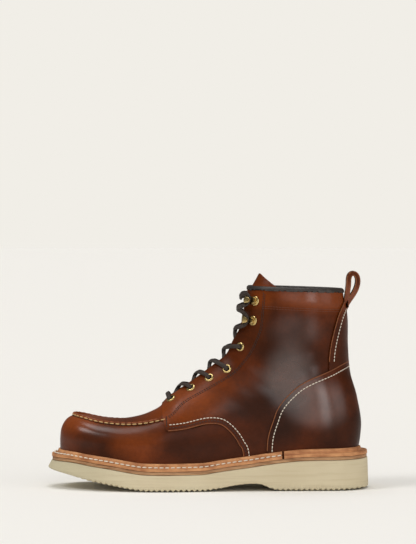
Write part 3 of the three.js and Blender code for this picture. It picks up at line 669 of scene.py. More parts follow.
class Cut(Enum):
    """How one body meets another."""

    JOIN = "UNION"
    TAKE = "DIFFERENCE"
    KEEP = "INTERSECT"


def carve(target: bpy.types.Object, cutter: bpy.types.Object, cut: Cut, keep_cutter: bool = False) -> None:
    """Joins, cuts or crosses a piece with another and applies it.

    Args:
        target: Piece that is changed.
        cutter: Piece that it meets.
        cut: How they meet.
        keep_cutter: Whether the other piece is used again.
    """
    step = target.modifiers.new(cut.name.lower(), "BOOLEAN")
    step.object, step.operation = cutter, cut.value
    step.solver, step.material_mode = "MANIFOLD", "TRANSFER"
    only(target)
    bpy.ops.object.modifier_apply(modifier=step.name)
    if not keep_cutter:
        bpy.data.objects.remove(cutter)


def duplicate(piece: bpy.types.Object, name: str) -> bpy.types.Object:
    """A copy of a piece with its own mesh.

    Args:
        piece: The piece.
        name: Name of the copy.

    Returns:
        The copy.
    """
    copy = piece.copy()
    copy.data = piece.data.copy()
    copy.name = copy.data.name = name
    bpy.context.collection.objects.link(copy)
    return copy


def soften(piece: bpy.types.Object, degrees: float = 32) -> None:
    """Shades a piece smooth up to an angle."""
    only(piece)
    bpy.ops.object.shade_smooth_by_angle(angle=math.radians(degrees))


def settle(piece: bpy.types.Object, slot: str, *nodes: str, degrees: float = 32) -> bpy.types.Object:
    """Finishes a piece, gives it its body and hides the CAD nodes that it stands for.

    Args:
        piece: The piece.
        slot: Not used.
        *nodes: CAD nodes that it stands for.
        degrees: Angle up to which it is smooth.

    Returns:
        The piece.
    """
    soften(piece, degrees)
    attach(piece, "root")
    if nodes:
        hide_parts(*nodes)
    log.info("%s: %d faces", piece.name, len(piece.data.polygons))
    return piece


def last_body(name: str, offset: float, material: bpy.types.Material, creased: bool = True,
              open_top: bool = False, rings: int = 150, around: int = 112) -> bpy.types.Object:
    """The whole form of the last, grown by an offset.

    Args:
        name: Name of the body.
        offset: Distance from the last.
        material: Finish of its skin.
        creased: Whether it follows the creases.
        open_top: Whether it goes on past the collar.
        rings: Sections along it.
        around: Places round a section.

    Returns:
        The body.
    """
    rows = np.linspace(0, LAST.collar_row, rings + 1)[1:]
    rows = np.concatenate([[0.12, 0.25, 0.5], rows[rows > 0.6]])
    if open_top:
        rows = np.append(rows, LAST.open_row)
    angles = np.linspace(0, 2 * math.pi, around, endpoint=False)
    stations = LAST.point(rows[:, None], angles[None, :], offset, creased)
    tip = LAST.point(np.array([0.0]), np.array([0.0]), offset, creased)[0]
    piece = laid_tube(name, stations, first=tip)
    piece.data.materials.append(material)
    return piece


def height_line(height: Callable[[Array], Array]) -> Array:
    """A height over the sole on the side view, carried on past toe and heel.

    Args:
        height: Height at places along the sole.

    Returns:
        The line, from toe to heel.
    """
    share = (1 - np.cos(np.linspace(0, math.pi, 120))) / 2
    x = SOLE.station(share, 0)[0]
    z = height(x)
    return np.vstack([[[-SOLE.length, z[0]]], np.stack([x, z], axis=1), [[SOLE.length, z[-1]]]])


def above(height: Callable[[Array], Array],
          material: Optional[bpy.types.Material] = None) -> bpy.types.Object:
    """All that lies over a height of the sole.

    Args:
        height: Height at places along the sole.
        material: What the cut faces wear.

    Returns:
        The cutter.
    """
    top = 2 * LAST.shaft
    line = np.vstack([height_line(height), [[SOLE.length, top], [-SOLE.length, top]]])
    return prism("above", line, material)


def behind(edge: Sequence[Sequence[float]], room: float, material: bpy.types.Material) -> bpy.types.Object:
    """All that lies behind a drawn edge of the side view.

    Args:
        edge: The edge, as drawn.
        room: How far the cut keeps off the edge.
        material: What the cut faces wear.

    Returns:
        The cutter.
    """
    line = edge_line(edge) - (room, 0)
    top = 2 * LAST.shaft
    corners = [[SOLE.length, line[-1][1]], [SOLE.length, top], [line[0][0], top]]
    return prism("behind", np.vstack([line, corners]), material)


def under(edge: Sequence[Sequence[float]], room: float, material: bpy.types.Material) -> bpy.types.Object:
    """All that lies under a drawn edge of the side view.

    Args:
        edge: The edge, as drawn.
        room: How far the cut keeps off the edge.
        material: What the cut faces wear.

    Returns:
        The cutter.
    """
    line = edge_line(edge) + (-room, room)
    corners = [[SOLE.length, line[-1][1]], [SOLE.length, line[0][1]]]
    return prism("under", np.vstack([line, corners]), material)


class Surface:
    """Finds places and directions on a finished body by rays."""

    def __init__(self, piece: bpy.types.Object) -> None:
        """Reads the body's faces.

        Args:
            piece: The body.
        """
        mesh = piece.data
        self.tree = BVHTree.FromPolygons([v.co[:] for v in mesh.vertices],
                                         [p.vertices[:] for p in mesh.polygons])

    def cast(self, start: Sequence[float], toward: Sequence[float]) -> Optional[tuple[Array, Array]]:
        """First place that a ray meets, in millimetres, and the direction there."""
        place, normal, _, _ = self.tree.ray_cast(Vector(start) * MM, Vector(toward).normalized())
        return None if place is None else (np.array(place) / MM, np.array(normal))

    def side(self, line: Array, side: Side) -> tuple[Array, Array]:
        """Lays a side view line on the body.

        Args:
            line: (x, z) places.
            side: Side of the boot.

        Returns:
            Points and their outward directions, where the line meets the body.
        """
        found = [self.cast((x, 400 * side.value, z), (0, -side.value, 0)) for x, z in line]
        found = [hit for hit in found if hit]
        return np.array([hit[0] for hit in found]), np.array([hit[1] for hit in found])


# Shader expressions


class Value:
    """A shader value or colour with ordinary arithmetic."""

    def __init__(self, kit: "ShaderKit", socket: Any) -> None:
        self.kit, self.socket = kit, socket

    def _math(self, operation: str, *values: Any) -> "Value":
        """Adds one Math node."""
        return self.kit.node("ShaderNodeMath", {"operation": operation}, dict(enumerate(values)))

    def __add__(self, other: Any) -> "Value":
        """Sum."""
        return self._math("ADD", self, other)

    __radd__ = __add__

    def __sub__(self, other: Any) -> "Value":
        """Difference."""
        return self._math("SUBTRACT", self, other)

    def __rsub__(self, other: Any) -> "Value":
        """Difference from a number."""
        return self._math("SUBTRACT", other, self)

    def __mul__(self, other: Any) -> "Value":
        """Product."""
        return self._math("MULTIPLY", self, other)

    __rmul__ = __mul__

    def __truediv__(self, other: Any) -> "Value":
        """Quotient."""
        return self._math("DIVIDE", self, other)

    def sine(self) -> "Value":
        """Sine of the value."""
        return self._math("SINE", self)

    def most(self, other: Any) -> "Value":
        """Larger of two values."""
        return self._math("MAXIMUM", self, other)

    def least(self, other: Any) -> "Value":
        """Smaller of two values."""
        return self._math("MINIMUM", self, other)


class ShaderKit:
    """Builds one material's nodes."""

    def __init__(self, name: str) -> None:
        """Makes the material and keeps its shader.

        Args:
            name: Name of the material.
        """
        self.material = bpy.data.materials.new(name)
        self.material.use_nodes = True
        self.tree = self.material.node_tree
        self.shader = self.tree.nodes["Principled BSDF"]
        self._place: Optional[Any] = None

    def node(self, kind: str, settings: Optional[dict[str, Any]] = None,
             sockets: Optional[dict[Any, Any]] = None, out: Any = 0) -> Value:
        """Adds any node.

        Args:
            kind: Type of the node.
            settings: Its settings.
            sockets: Values or links by socket name or number.
            out: Name or number of the output.

        Returns:
            The output.
        """
        made = self.tree.nodes.new(kind)
        for name, value in (settings or {}).items():
            setattr(made, name, value)
        for name, value in (sockets or {}).items():
            socket = made.inputs[name]
            if isinstance(value, Value):
                self.tree.links.new(value.socket, socket)
            else:
                socket.default_value = value
        return Value(self, made.outputs[out])

    def place(self) -> Value:
        """Object coordinates.

        Returns:
            The socket that gives them.
        """
        if self._place is None:
            self._place = self.node("ShaderNodeTexCoord", out="Object")
        return self._place

    def axes(self) -> tuple[Value, Value, Value]:
        """x, y and z of the object coordinates in metres."""
        split = self.node("ShaderNodeSeparateXYZ", None, {0: self.place()})
        return tuple(Value(self, socket) for socket in split.socket.node.outputs)

    def uv(self) -> tuple[Value, Value]:
        """u and v of the piece's map.

        Returns:
            Both values.
        """
        spot = self.node("ShaderNodeTexCoord", out="UV")
        split = self.node("ShaderNodeSeparateXYZ", None, {0: spot})
        return Value(self, split.socket.node.outputs[0]), Value(self, split.socket.node.outputs[1])

    def noise(self, scale: float, detail: float = 3, rough: float = 0.5, stretch: Sequence[float] = (1, 1, 1),
              seed: float = 0) -> Value:
        """Noise from 0 to 1 on the object coordinates.

        Args:
            scale: Cycles per metre.
            detail: Number of finer layers.
            rough: Strength of the finer layers.
            stretch: Scale along each axis.
            seed: Shift of the pattern.

        Returns:
            The noise.
        """
        spot = self.node("ShaderNodeMapping", None, {"Vector": self.place(), "Scale": tuple(stretch),
                                                     "Location": (seed, 0.7 * seed, 0.3 * seed)})
        return self.node("ShaderNodeTexNoise", None, {"Vector": spot, "Scale": scale, "Detail": detail,
                                                      "Roughness": rough})

    def cells(self, scale: float) -> Value:
        """Distance to the borders of a cell pattern on the object coordinates."""
        return self.node("ShaderNodeTexVoronoi", {"feature": "DISTANCE_TO_EDGE"},
                         {"Vector": self.place(), "Scale": scale})

    def between(self, value: Any, low: float, high: float) -> Value:
        """Smooth step of a value from low to high."""
        return self.node("ShaderNodeMapRange", {"interpolation_type": "SMOOTHSTEP"},
                         {"Value": value, "From Min": low, "From Max": high})

    def painted(self, patches: Iterable["Patch"], soft: bool = False) -> Value:
        """Soft patches on the side view, added up.

        Args:
            patches: The patches.
            soft: Whether they fade sooner towards their rims.

        Returns:
            Their sum.
        """
        total: Any = 0.0
        for patch in patches:
            px, _, pz = self.axes()
            dx, dz = (px - patch.x) * (1 / patch.wide), (pz - patch.z) * (1 / patch.tall)
            spot = 1 - self.between(dx * dx + dz * dz, 0.0, 1.0)
            total = (spot * spot if soft else spot) * patch.share + total
        return total

    def mix(self, share: Any, first: Any, second: Any) -> Value:
        """Mix of two colours.

        Args:
            share: Share of the second.
            first: First colour.
            second: Second colour.

        Returns:
            The mixed colour.
        """
        made = self.node("ShaderNodeMix", {"data_type": "RGBA"}, {"Factor": share}, out="Result")
        mixer = made.socket.node
        for socket, value in ((mixer.inputs[6], first), (mixer.inputs[7], second)):
            if isinstance(value, Value):
                self.tree.links.new(value.socket, socket)
            else:
                socket.default_value = (*value, 1) if len(value) == 3 else value
        return Value(self, mixer.outputs[2])

    def bump(self, height: Value, depth: float, strength: float = 1.0,
             under: Optional[Value] = None) -> Value:
        """Bump from a height, over another bump if given.

        Args:
            height: The height.
            depth: Its depth in metres.
            strength: Its strength.
            under: The bump below it.

        Returns:
            The normal.
        """
        sockets = {"Height": height, "Distance": depth, "Strength": strength}
        if under is not None:
            sockets["Normal"] = under
        return self.node("ShaderNodeBump", None, sockets)

    def finish(self, **sockets: Any) -> bpy.types.Material:
        """Feeds the shader's sockets and gives the material back.

        Args:
            **sockets: A value for each socket, with underscores in its name.

        Returns:
            The material.
        """
        for name, value in sockets.items():
            socket = self.shader.inputs[name.replace("_", " ").title().replace("Ior", "IOR")]
            if isinstance(value, Value):
                self.tree.links.new(value.socket, socket)
            elif isinstance(value, tuple) and len(value) == 3:
                socket.default_value = (*value, 1)
            else:
                socket.default_value = value
        return self.material


def tone(red: int, green: int, blue: int) -> tuple[float, float, float]:
    """Linear colour of a screen colour."""
    shares = (red / 255, green / 255, blue / 255)
    return tuple(c / 12.92 if c <= 0.04045 else ((c + 0.055) / 1.055) ** 2.4 for c in shares)


class Zone(Enum):
    """Part of the upper that a leather dresses, with its share of the dark burnish."""

    VAMP = 0.0
    QUARTER = 0.35
    COUNTER = 0.75


@dataclass(frozen=True)
class Patch:
    """A soft patch painted on the side view, in metres, and its strength."""

    x: float
    z: float
    wide: float
    tall: float
    share: float


@dataclass(frozen=True)
class PullUpLeather:
    """Oiled brown leather with painted highlights and darker patches of burnish and painted shade.

    Attributes:
        zone: Part of the upper.
        light, middle, deep, dark: Its colours.
        painted_highlights: Patches painted lighter, as painted highlight.
        burnish_and_shade: Patches painted darker, partly burnish and partly painted shade.
        wax: Patches that shine.
    """

    zone: Zone = Zone.VAMP
    light: tuple = tone(136, 62, 16)
    middle: tuple = tone(90, 38, 10)
    deep: tuple = tone(64, 27, 8)
    dark: tuple = tone(38, 18, 8)
    # Patches of painted highlight, lighter leather where highlights fall.
    painted_highlights: tuple[Patch, ...] = (
        Patch(-0.135, 0.085, 0.075, 0.040, 0.90), Patch(-0.030, 0.078, 0.060, 0.022, 0.60),
        Patch(0.000, 0.098, 0.050, 0.020, 0.35), Patch(0.110, 0.184, 0.090, 0.020, 0.55),
        Patch(-0.070, 0.045, 0.035, 0.030, 0.45), Patch(0.045, 0.170, 0.020, 0.050, 0.35))
    # Patches painted darker, partly burnish and partly painted shade.
    burnish_and_shade: tuple[Patch, ...] = (
        Patch(-0.110, 0.036, 0.050, 0.016, 0.50), Patch(0.060, 0.070, 0.050, 0.040, 0.75),
        Patch(-0.020, 0.048, 0.050, 0.022, 0.45), Patch(0.085, 0.130, 0.050, 0.050, 0.40),
        Patch(0.140, 0.050, 0.050, 0.030, 0.50), Patch(0.035, 0.090, 0.045, 0.030, 0.40))
    wax: tuple[Patch, ...] = (
        Patch(0.106, 0.082, 0.044, 0.032, 0.80), Patch(0.078, 0.109, 0.034, 0.044, 1.00),
        Patch(0.045, 0.103, 0.040, 0.020, 0.35), Patch(0.083, 0.152, 0.040, 0.024, 0.30),
        Patch(-0.119, 0.058, 0.040, 0.028, 0.22), Patch(-0.082, 0.060, 0.070, 0.020, 0.14),
        Patch(-0.012, 0.086, 0.060, 0.022, 0.30), Patch(0.110, 0.186, 0.060, 0.018, 0.30))

    def build(self) -> bpy.types.Material:
        """Makes the material.

        Returns:
            The material.
        """
        kit = ShaderKit(f"pull_up_leather_{self.zone.name.lower()}")
        clouds = kit.noise(14, 4, 0.55, seed=1 + self.zone.value)
        mottle = kit.noise(42, 4, 0.6, seed=3)
        fine = kit.noise(300, 3, 0.6)
        shade = clouds * 0.65 + mottle * 0.35
        colour = kit.mix(kit.between(shade, 0.36, 0.62), self.deep, self.middle)
        # Painted highlight: the highlight patches, with random mottling, lighten the colour.
        tone_and_highlight_share = kit.painted(self.painted_highlights) * 0.7 + shade * 0.5 - 0.22
        colour = kit.mix(kit.between(tone_and_highlight_share, 0.0, 0.75), colour, self.light)
        # Darker patches, partly burnish and partly painted shade, with the zone's burnish and random
        # mottling.
        burnish_and_shade_share = kit.painted(self.burnish_and_shade) * 0.9 + self.zone.value * 0.45 + (0.5 - shade) * 1.1
        colour = kit.mix(kit.between(burnish_and_shade_share, 0.1, 1.25) * 0.9, colour, self.dark)
        colour = kit.mix((fine - 0.5) * 0.5 + 0.12, colour, self.dark)
        pulls = kit.noise(120, 5, 0.62, (1, 1, 1.6), seed=8)
        normal = kit.bump(kit.between(kit.cells(1500), 0.0, 0.35), 0.00005, 0.5)
        normal = kit.bump(pulls, 0.0006, 0.35, normal)
        rough = 0.30 + (1 - shade) * 0.12 + fine * 0.05
        shine = kit.painted(self.wax, soft=True) * (0.35 + 1.2 * shade) + 0.035 + (shade - 0.5) * 0.10
        return kit.finish(base_color=colour, roughness=rough, normal=normal, specular_ior_level=0.07,
                          coat_weight=shine.least(1.0).most(0.01), coat_roughness=0.24, coat_ior=1.8)


@dataclass(frozen=True)
class RawEdge:
    """Cut edge of leather, tan and a little fuzzy."""

    colour: tuple = tone(132, 74, 34)
    dark: tuple = tone(92, 48, 22)

    def build(self) -> bpy.types.Material:
        """Makes the material.

        Returns:
            The material.
        """
        kit = ShaderKit("raw_edge")
        fuzz = kit.noise(900, 4, 0.6)
        colour = kit.mix(kit.between(fuzz, 0.4, 0.7), self.colour, self.dark)
        return kit.finish(base_color=colour, roughness=0.8, normal=kit.bump(fuzz, 0.0002, 0.6))


@dataclass(frozen=True)
class DarkBackFace:
    """Near-black back face of pull loop and tongue."""

    colour: tuple = tone(40, 32, 28)
    light: tuple = tone(66, 52, 44)

    def build(self) -> bpy.types.Material:
        """Makes the material.

        Returns:
            The material.
        """
        kit = ShaderKit("loop_inside")
        nap = kit.noise(700, 4, 0.6)
        colour = kit.mix(kit.between(nap, 0.4, 0.65), self.colour, self.light)
        return kit.finish(base_color=colour, roughness=0.8, normal=kit.bump(nap, 0.0002, 0.5))


@dataclass(frozen=True)
class Lining:
    """Soft unfinished leather inside the boot."""

    name: str = "lining"
    colour: tuple = tone(120, 84, 56)
    dark: tuple = tone(86, 58, 38)

    def build(self) -> bpy.types.Material:
        """Makes the material.

        Returns:
            The material.
        """
        kit = ShaderKit(self.name)
        cloud = kit.noise(60, 4, 0.6)
        nap = kit.noise(1200, 3, 0.7)
        colour = kit.mix(kit.between(cloud, 0.35, 0.65), self.colour, self.dark)
        return kit.finish(base_color=colour, roughness=0.85, normal=kit.bump(nap, 0.0002, 0.5),
                          sheen_weight=0.15)


@dataclass(frozen=True)
class CreamRubber:
    """Pale wedge rubber with faint lines along its side."""

    colour: tuple = tone(206, 193, 163)
    warm: tuple = tone(188, 172, 140)
    grey: tuple = tone(178, 172, 144)

    def build(self) -> bpy.types.Material:
        """Makes the material.

        Returns:
            The material.
        """
        kit = ShaderKit("cream_rubber")
        px, _, pz = kit.axes()
        lines = kit.noise(260, 4, 0.65, (0.06, 0.06, 1.6))
        cloud = kit.noise(18, 3)
        colour = kit.mix(kit.between(lines, 0.42, 0.66) * 0.5, self.colour, self.warm)
        colour = kit.mix(kit.between(cloud, 0.4, 0.7) * 0.35, colour, self.warm)
        colour = kit.mix((1 - kit.between(px, -0.15, -0.06)) * 0.55, colour, self.grey)
        colour = kit.mix((1 - kit.between(pz, 0.0, 0.006)) * 0.35, colour, self.grey)
        specks = kit.noise(1600, 2)
        normal = kit.bump(lines, 0.0003, 0.5)
        normal = kit.bump(specks, 0.0001, 0.4, normal)
        return kit.finish(base_color=colour, roughness=0.72, normal=normal, specular_ior_level=0.35)


@dataclass(frozen=True)
class LayeredTan:
    """Tan leather or board seen on its edge, with fibres along it."""

    name: str
    colour: tuple
    dark: tuple
    fibre: float = 0.6

    def build(self) -> bpy.types.Material:
        """Makes the material.

        Returns:
            The material.
        """
        kit = ShaderKit(self.name)
        fibres = kit.noise(420, 5, 0.7, (0.12, 0.12, 1.5))
        cloud = kit.noise(70, 4, 0.6, seed=2)
        share = kit.between(fibres * self.fibre + cloud * (1 - self.fibre), 0.36, 0.64)
        colour = kit.mix(share, self.colour, self.dark)
        return kit.finish(base_color=colour, roughness=0.62, normal=kit.bump(fibres, 0.0004, 0.5),
                          specular_ior_level=0.4)


@dataclass(frozen=True)
class Thread:
    """Waxed sewing thread."""

    name: str
    colour: tuple
    rough: float = 0.6

    def build(self) -> bpy.types.Material:
        """Makes the material.

        Returns:
            The material.
        """
        kit = ShaderKit(self.name)
        twist = kit.noise(900, 2, 0.5)
        colour = kit.mix(twist * 0.35, self.colour, tuple(0.45 * c for c in self.colour))
        return kit.finish(base_color=colour, roughness=self.rough, normal=kit.bump(twist, 0.0001, 0.5))


@dataclass(frozen=True)
class BindingTape:
    """Black leather tape with a grey sheen."""

    colour: tuple = tone(42, 35, 31)
    grey: tuple = tone(74, 64, 57)

    def build(self) -> bpy.types.Material:
        """Makes the material.

        Returns:
            The material.
        """
        kit = ShaderKit("binding_tape")
        cloud = kit.noise(120, 4, 0.6)
        grain = kit.noise(1800, 3, 0.6)
        colour = kit.mix(kit.between(cloud, 0.45, 0.7) * 0.5, self.colour, self.grey)
        return kit.finish(base_color=colour, roughness=0.42 + cloud * 0.14,
                          normal=kit.bump(grain, 0.0001, 0.5))


@dataclass(frozen=True)
class Brass:
    """Pale polished brass with fine handling marks."""

    colour: tuple = tone(214, 188, 128)
    dull: tuple = tone(170, 138, 82)

    def build(self) -> bpy.types.Material:
        """Makes the material.

        Returns:
            The material.
        """
        kit = ShaderKit("brass")
        cloud = kit.noise(350, 4, 0.6)
        marks = kit.noise(2600, 3, 0.6, (1, 1, 0.3))
        colour = kit.mix(kit.between(cloud, 0.42, 0.68) * 0.55, self.colour, self.dull)
        return kit.finish(base_color=colour, metallic=1.0, roughness=0.2 + marks * 0.14,
                          normal=kit.bump(marks, 0.00003, 0.4))


@dataclass(frozen=True)
class LaceCord:
    """Flat braided lace, dark brown, waxed."""

    colour: tuple = tone(40, 28, 21)
    light: tuple = tone(62, 46, 35)
    plait: float = 0.0016

    def build(self) -> bpy.types.Material:
        """Makes the material.

        Returns:
            The material.
        """
        kit = ShaderKit("lace_cord")
        u, v = kit.uv()
        turn = 2 * math.pi / self.plait
        one = ((u * turn + v * 6 * math.pi).sine() * 0.5 + 0.5)
        two = ((u * turn - v * 6 * math.pi).sine() * 0.5 + 0.5)
        weave = one.most(two)
        fuzz = kit.noise(2200, 2)
        colour = kit.mix(kit.between(weave, 0.5, 1.0) * 0.4 + fuzz * 0.15, self.colour, self.light)
        normal = kit.bump(weave, 0.0004, 0.7)
        return kit.finish(base_color=colour, roughness=0.62, normal=normal)


@dataclass(frozen=True)
class FloorPaper:
    """Plain pale studio paper."""

    colour: tuple = tone(240, 238, 234)

    def build(self) -> bpy.types.Material:
        """Makes the material.

        Returns:
            The material.
        """
        kit = ShaderKit("floor_paper")
        cloud = kit.noise(3, 2)
        colour = kit.mix(cloud * 0.03, self.colour, tuple(0.9 * c for c in self.colour))
        return kit.finish(base_color=colour, roughness=0.9, specular_ior_level=0.1)


@dataclass
class Wardrobe:
    """All the finishes, made once."""

    made: dict[str, bpy.types.Material] = field(default_factory=dict)

    def get(self, finish: Any) -> bpy.types.Material:
        """The material of a finish, made on first use.

        Args:
            finish: The finish.

        Returns:
            The material.
        """
        key = repr(finish)
        if key not in self.made:
            self.made[key] = finish.build()
        return self.made[key]


WARDROBE = Wardrobe()
VAMP, QUARTER, COUNTER = (PullUpLeather(zone) for zone in Zone)
RAW, DARK_BACK, LINING = RawEdge(), DarkBackFace(), Lining()
LIP_EDGE = RawEdge(tone(146, 76, 34), tone(100, 50, 24))
# Pitch, length, width and lift of the panels' stitches
PANEL_SEAM = (3.3, 2.6, 0.95, 0.15)
WHITE_THREAD = Thread("thread_white", tone(226, 214, 196))
TAN_THREAD = Thread("thread_tan", tone(206, 168, 112))
# Dark brown thread for real stitches, also laid at the moccasin lip's foot as painted shade.
BROWN_THREAD_AND_SHADE = Thread("thread_brown_and_shade", tone(44, 26, 18))


# Sole


@dataclass
class Sole:
    """Outsole with its cut tread, and the midsole layer over it."""

    tread_pitch: float = 5.1
    tread_depth: float = 1.5
    tread_round: float = 1.2
    midsole_inset: float = 1.6
    stations: int = 620

    def _layer(self, name: str, levels: Sequence[tuple[Callable, Callable]],
               stations: int) -> bpy.types.Object:
        """Lays one layer of the sole.

        Args:
            name: Name of the piece.
            levels: Inset by share and height by x of each level, from below.
            stations: Number of stations along the sole.

        Returns:
            The piece.
        """
        share = np.concatenate([(1 - np.cos(np.linspace(0.004, 0.5, 28))) / 2,
                                np.linspace(0.0635, 0.9365, stations),
                                1 - (1 - np.cos(np.linspace(0.5, 0.004, 28))) / 2])
        outer, inner = [], []
        for inset, height in levels:
            x, low, high = SOLE.station(share, inset(share))
            z = height(x)
            outer.append(np.stack([x, low, z], axis=1))
            inner.append(np.stack([x, high, z], axis=1))
        rings = np.stack(outer + inner[::-1], axis=1)
        wall = [len(levels) // 2, 2 * len(levels) - 1 - len(levels) // 2]
        return laid_tube(name, rings, first=rings[0][wall].mean(axis=0), last=rings[-1][wall].mean(axis=0))

    def _tread(self, x: Array) -> Array:
        """Height of the cut tread over the ground, with its peaks on the floor.

        Args:
            x: Places along the sole.

        Returns:
            The heights there.
        """
        share = SOLE.share(x)
        wave = np.abs(((x / self.tread_pitch) % 1) - 0.5) * 2
        here = np.clip((share - 0.09) / 0.05, 0, 1) * np.clip((0.985 - share) / 0.01, 0, 1)
        rest = 1 - 0.75 * np.clip(SOLE.ground(x) - SOLE.spring(x), 0, 3) / 3
        return self.tread_depth * np.clip(1.35 * wave - 0.2, 0, 1) * here * rest

    def build(self) -> None:
        """Builds both layers."""
        ground, top = SOLE.ground, SOLE.outsole_top
        levels = [(lambda s: 9.0 + 0 * s, lambda x: ground(x) + self._tread(x)),
                  (lambda s: self.tread_round + 0 * s, lambda x: ground(x) + self._tread(x)),
                  (lambda s: 0.3 + 0 * s, lambda x: ground(x) + 0.5 + 1.05 * self._tread(x)),
                  (lambda s: 0 * s, lambda x: ground(x) + 1.4 + 0.7 * self._tread(x))]
        for up in (0.25, 0.5, 0.75):
            levels.append((lambda s, up=up: up * SOLE.flare(s),
                           lambda x, up=up: lerp(ground(x) + 1.6, top(x) - 0.5, up)))
        levels += [(lambda s: SOLE.flare(s), lambda x: top(x) - 0.5),
                   (lambda s: SOLE.flare(s) + 0.5, top), (lambda s: SOLE.flare(s) + 10, top)]
        outsole = self._layer("outsole_rubber", levels, self.stations)
        outsole.data.materials.append(WARDROBE.get(CreamRubber()))
        settle(outsole, "sole_rubber", "outsole", degrees=38)
        inset = self.midsole_inset - SOLE.side_flare
        low, high = (lambda x: top(x) + SOLE.gap), SOLE.midsole_top
        levels = [(lambda s: SOLE.flare(s) + inset + 10, low), (lambda s: SOLE.flare(s) + inset + 0.4, low),
                  (lambda s: SOLE.flare(s) + inset, lambda x: low(x) + 0.5),
                  (lambda s: SOLE.flare(s) + inset, lambda x: high(x) - 0.5),
                  (lambda s: SOLE.flare(s) + inset + 0.4, high), (lambda s: SOLE.flare(s) + inset + 10, high)]
        midsole = self._layer("midsole_layer", levels, 240)
        midsole.data.materials.append(WARDROBE.get(
            LayeredTan("midsole_board", tone(188, 146, 106), tone(138, 96, 62), 0.75)))
        settle(midsole, "midsole_layer", "midsole", degrees=50)


@dataclass
class Welt:
    """Stitched welt with its rolled rib, and the rand round the heel."""

    inset: float = 1.0
    rib_height: float = 4.4
    rib_width: float = 2.6
    stitch_pitch: float = 5.4
    stitch_length: float = 4.3
    spacing: float = 2.0

    def _round(self, body: Surface) -> tuple[Array, Array, Array]:
        """Walks round the boot.

        Args:
            body: Outside of upper and counter.

        Returns:
            Ledge edge points, foot points on the upper and outward directions, starting and
            ending at the middle of the heel.
        """
        share = 1 - (1 - np.cos(np.linspace(0.03, math.pi - 0.03, 900))) / 2
        inset = SOLE.flare(share) + self.inset - SOLE.side_flare
        x, low, high = SOLE.station(share, inset)
        plan = np.vstack([np.stack([x, low], axis=1), np.stack([x, high], axis=1)[::-1]])
        plan = resample(plan, int(path_length(plan) / self.spacing))
        tangent = unit(np.gradient(plan, axis=0))
        out = np.stack([tangent[:, 1], -tangent[:, 0]], axis=1)
        out *= np.sign((out * (plan - plan.mean(axis=0))).sum(axis=1).mean())
        edge, foot, aside = [], [], []
        for (px, py), (ox, oy) in zip(plan, out):
            z = float(SOLE.welt_top(px))
            hit = body.cast((px + 40 * ox, py + 40 * oy, z + 2.2), (-ox, -oy, 0))
            if hit and np.hypot(hit[0][0] - px, hit[0][1] - py) < 30:
                edge.append((px, py, z))
                foot.append((hit[0][0], hit[0][1], float(SOLE.welt_top(hit[0][0]))))
                aside.append((ox, oy, 0))
        foot_line = np.array(foot)
        for _ in range(3):
            foot_line[1:-1] = (foot_line[:-2] + 2 * foot_line[1:-1] + foot_line[2:]) / 4
        return np.array(edge), foot_line, np.array(aside)

    def _band(self, name: str, edge: Array, foot: Array, aside: Array, step: float = 0.0) -> bpy.types.Object:
        """Ledge with its rib along one stretch.

        Args:
            name: Name of the piece.
            edge: Outer edge of the ledge.
            foot: Foot of the upper.
            aside: Outward directions.
            step: How much the ledge stands higher.

        Returns:
            The piece.
        """
        rib = self.rib_width
        outline = [(-0.8, -1, 0), (1.0, -1, 0.35), (1.0, -1, 0.0), (1.0, 0, -0.45), (0.97, 0, 0),
                   (None, 0, rib + 0.25), (None, 0.9, rib), (None, 2.6, rib), (None, 3.7, rib - 0.35),
                   (None, 4.2, rib - 0.95), (None, 4.4, rib - 1.6), (None, 4.25, 0.35), (None, 3.6, -0.6),
                   (None, 0, -1.4)]
        rings = []
        for e, f, a in zip(edge, foot, aside):
            ring = []
            for reach, up, out in outline:
                if reach is None:
                    ring.append(f + a * out + np.array([0, 0, up * self.rib_height / 4.4 + step * (up <= 0)]))
                elif up < 0:
                    at = f if reach < 0 else e
                    ring.append(at + a * (-1.4 if reach < 0 else -out) + (0, 0, -SOLE.welt))
                else:
                    at = lerp(f, e, reach)
                    ring.append(at + (0, 0, out + step))
            rings.append(ring)
        length = np.concatenate([[0], np.cumsum(np.linalg.norm(np.diff(edge, axis=0), axis=1))])
        piece = laid_tube(name, np.array(rings), lengthwise=length)
        piece.data.materials.append(WARDROBE.get(
            LayeredTan("welt_tan", tone(206, 148, 98), tone(156, 98, 58), 0.5)))
        return piece

    def build(self, body: Surface) -> None:
        """Builds welt, rand and the ledge's stitches.

        Args:
            body: Outside of upper and counter.
        """
        edge, foot, aside = self._round(body)
        front = edge[:, 0] < WELT_JOINT_X - 0.3
        welt = self._band("welt_band", edge[front], foot[front], aside[front])
        settle(welt, "welt_leather", "welt", degrees=50)
        start, end = np.flatnonzero(front)[[0, -1]]
        rear = np.concatenate([np.arange(end + 1, len(edge)), np.arange(0, start)])
        rear = rear[edge[rear, 0] > WELT_JOINT_X]
        rand = self._band("heel_rand_band", edge[rear], foot[rear], aside[rear], step=0.25)
        settle(rand, "welt_leather", "heel_rand", degrees=50)
        line = lerp(foot + aside * self.rib_width, edge, 0.55)[front]
        line = resample(line, int(path_length(line) / 1.0))
        ups = np.tile([0.0, 0.0, 1.0], (len(line), 1))
        Stitches("welt_stitches", WHITE_THREAD, self.stitch_pitch, self.stitch_length, 1.5, 0.55, 14).sew(
            [(line + ups * 0.35, ups)], "welt_leather")


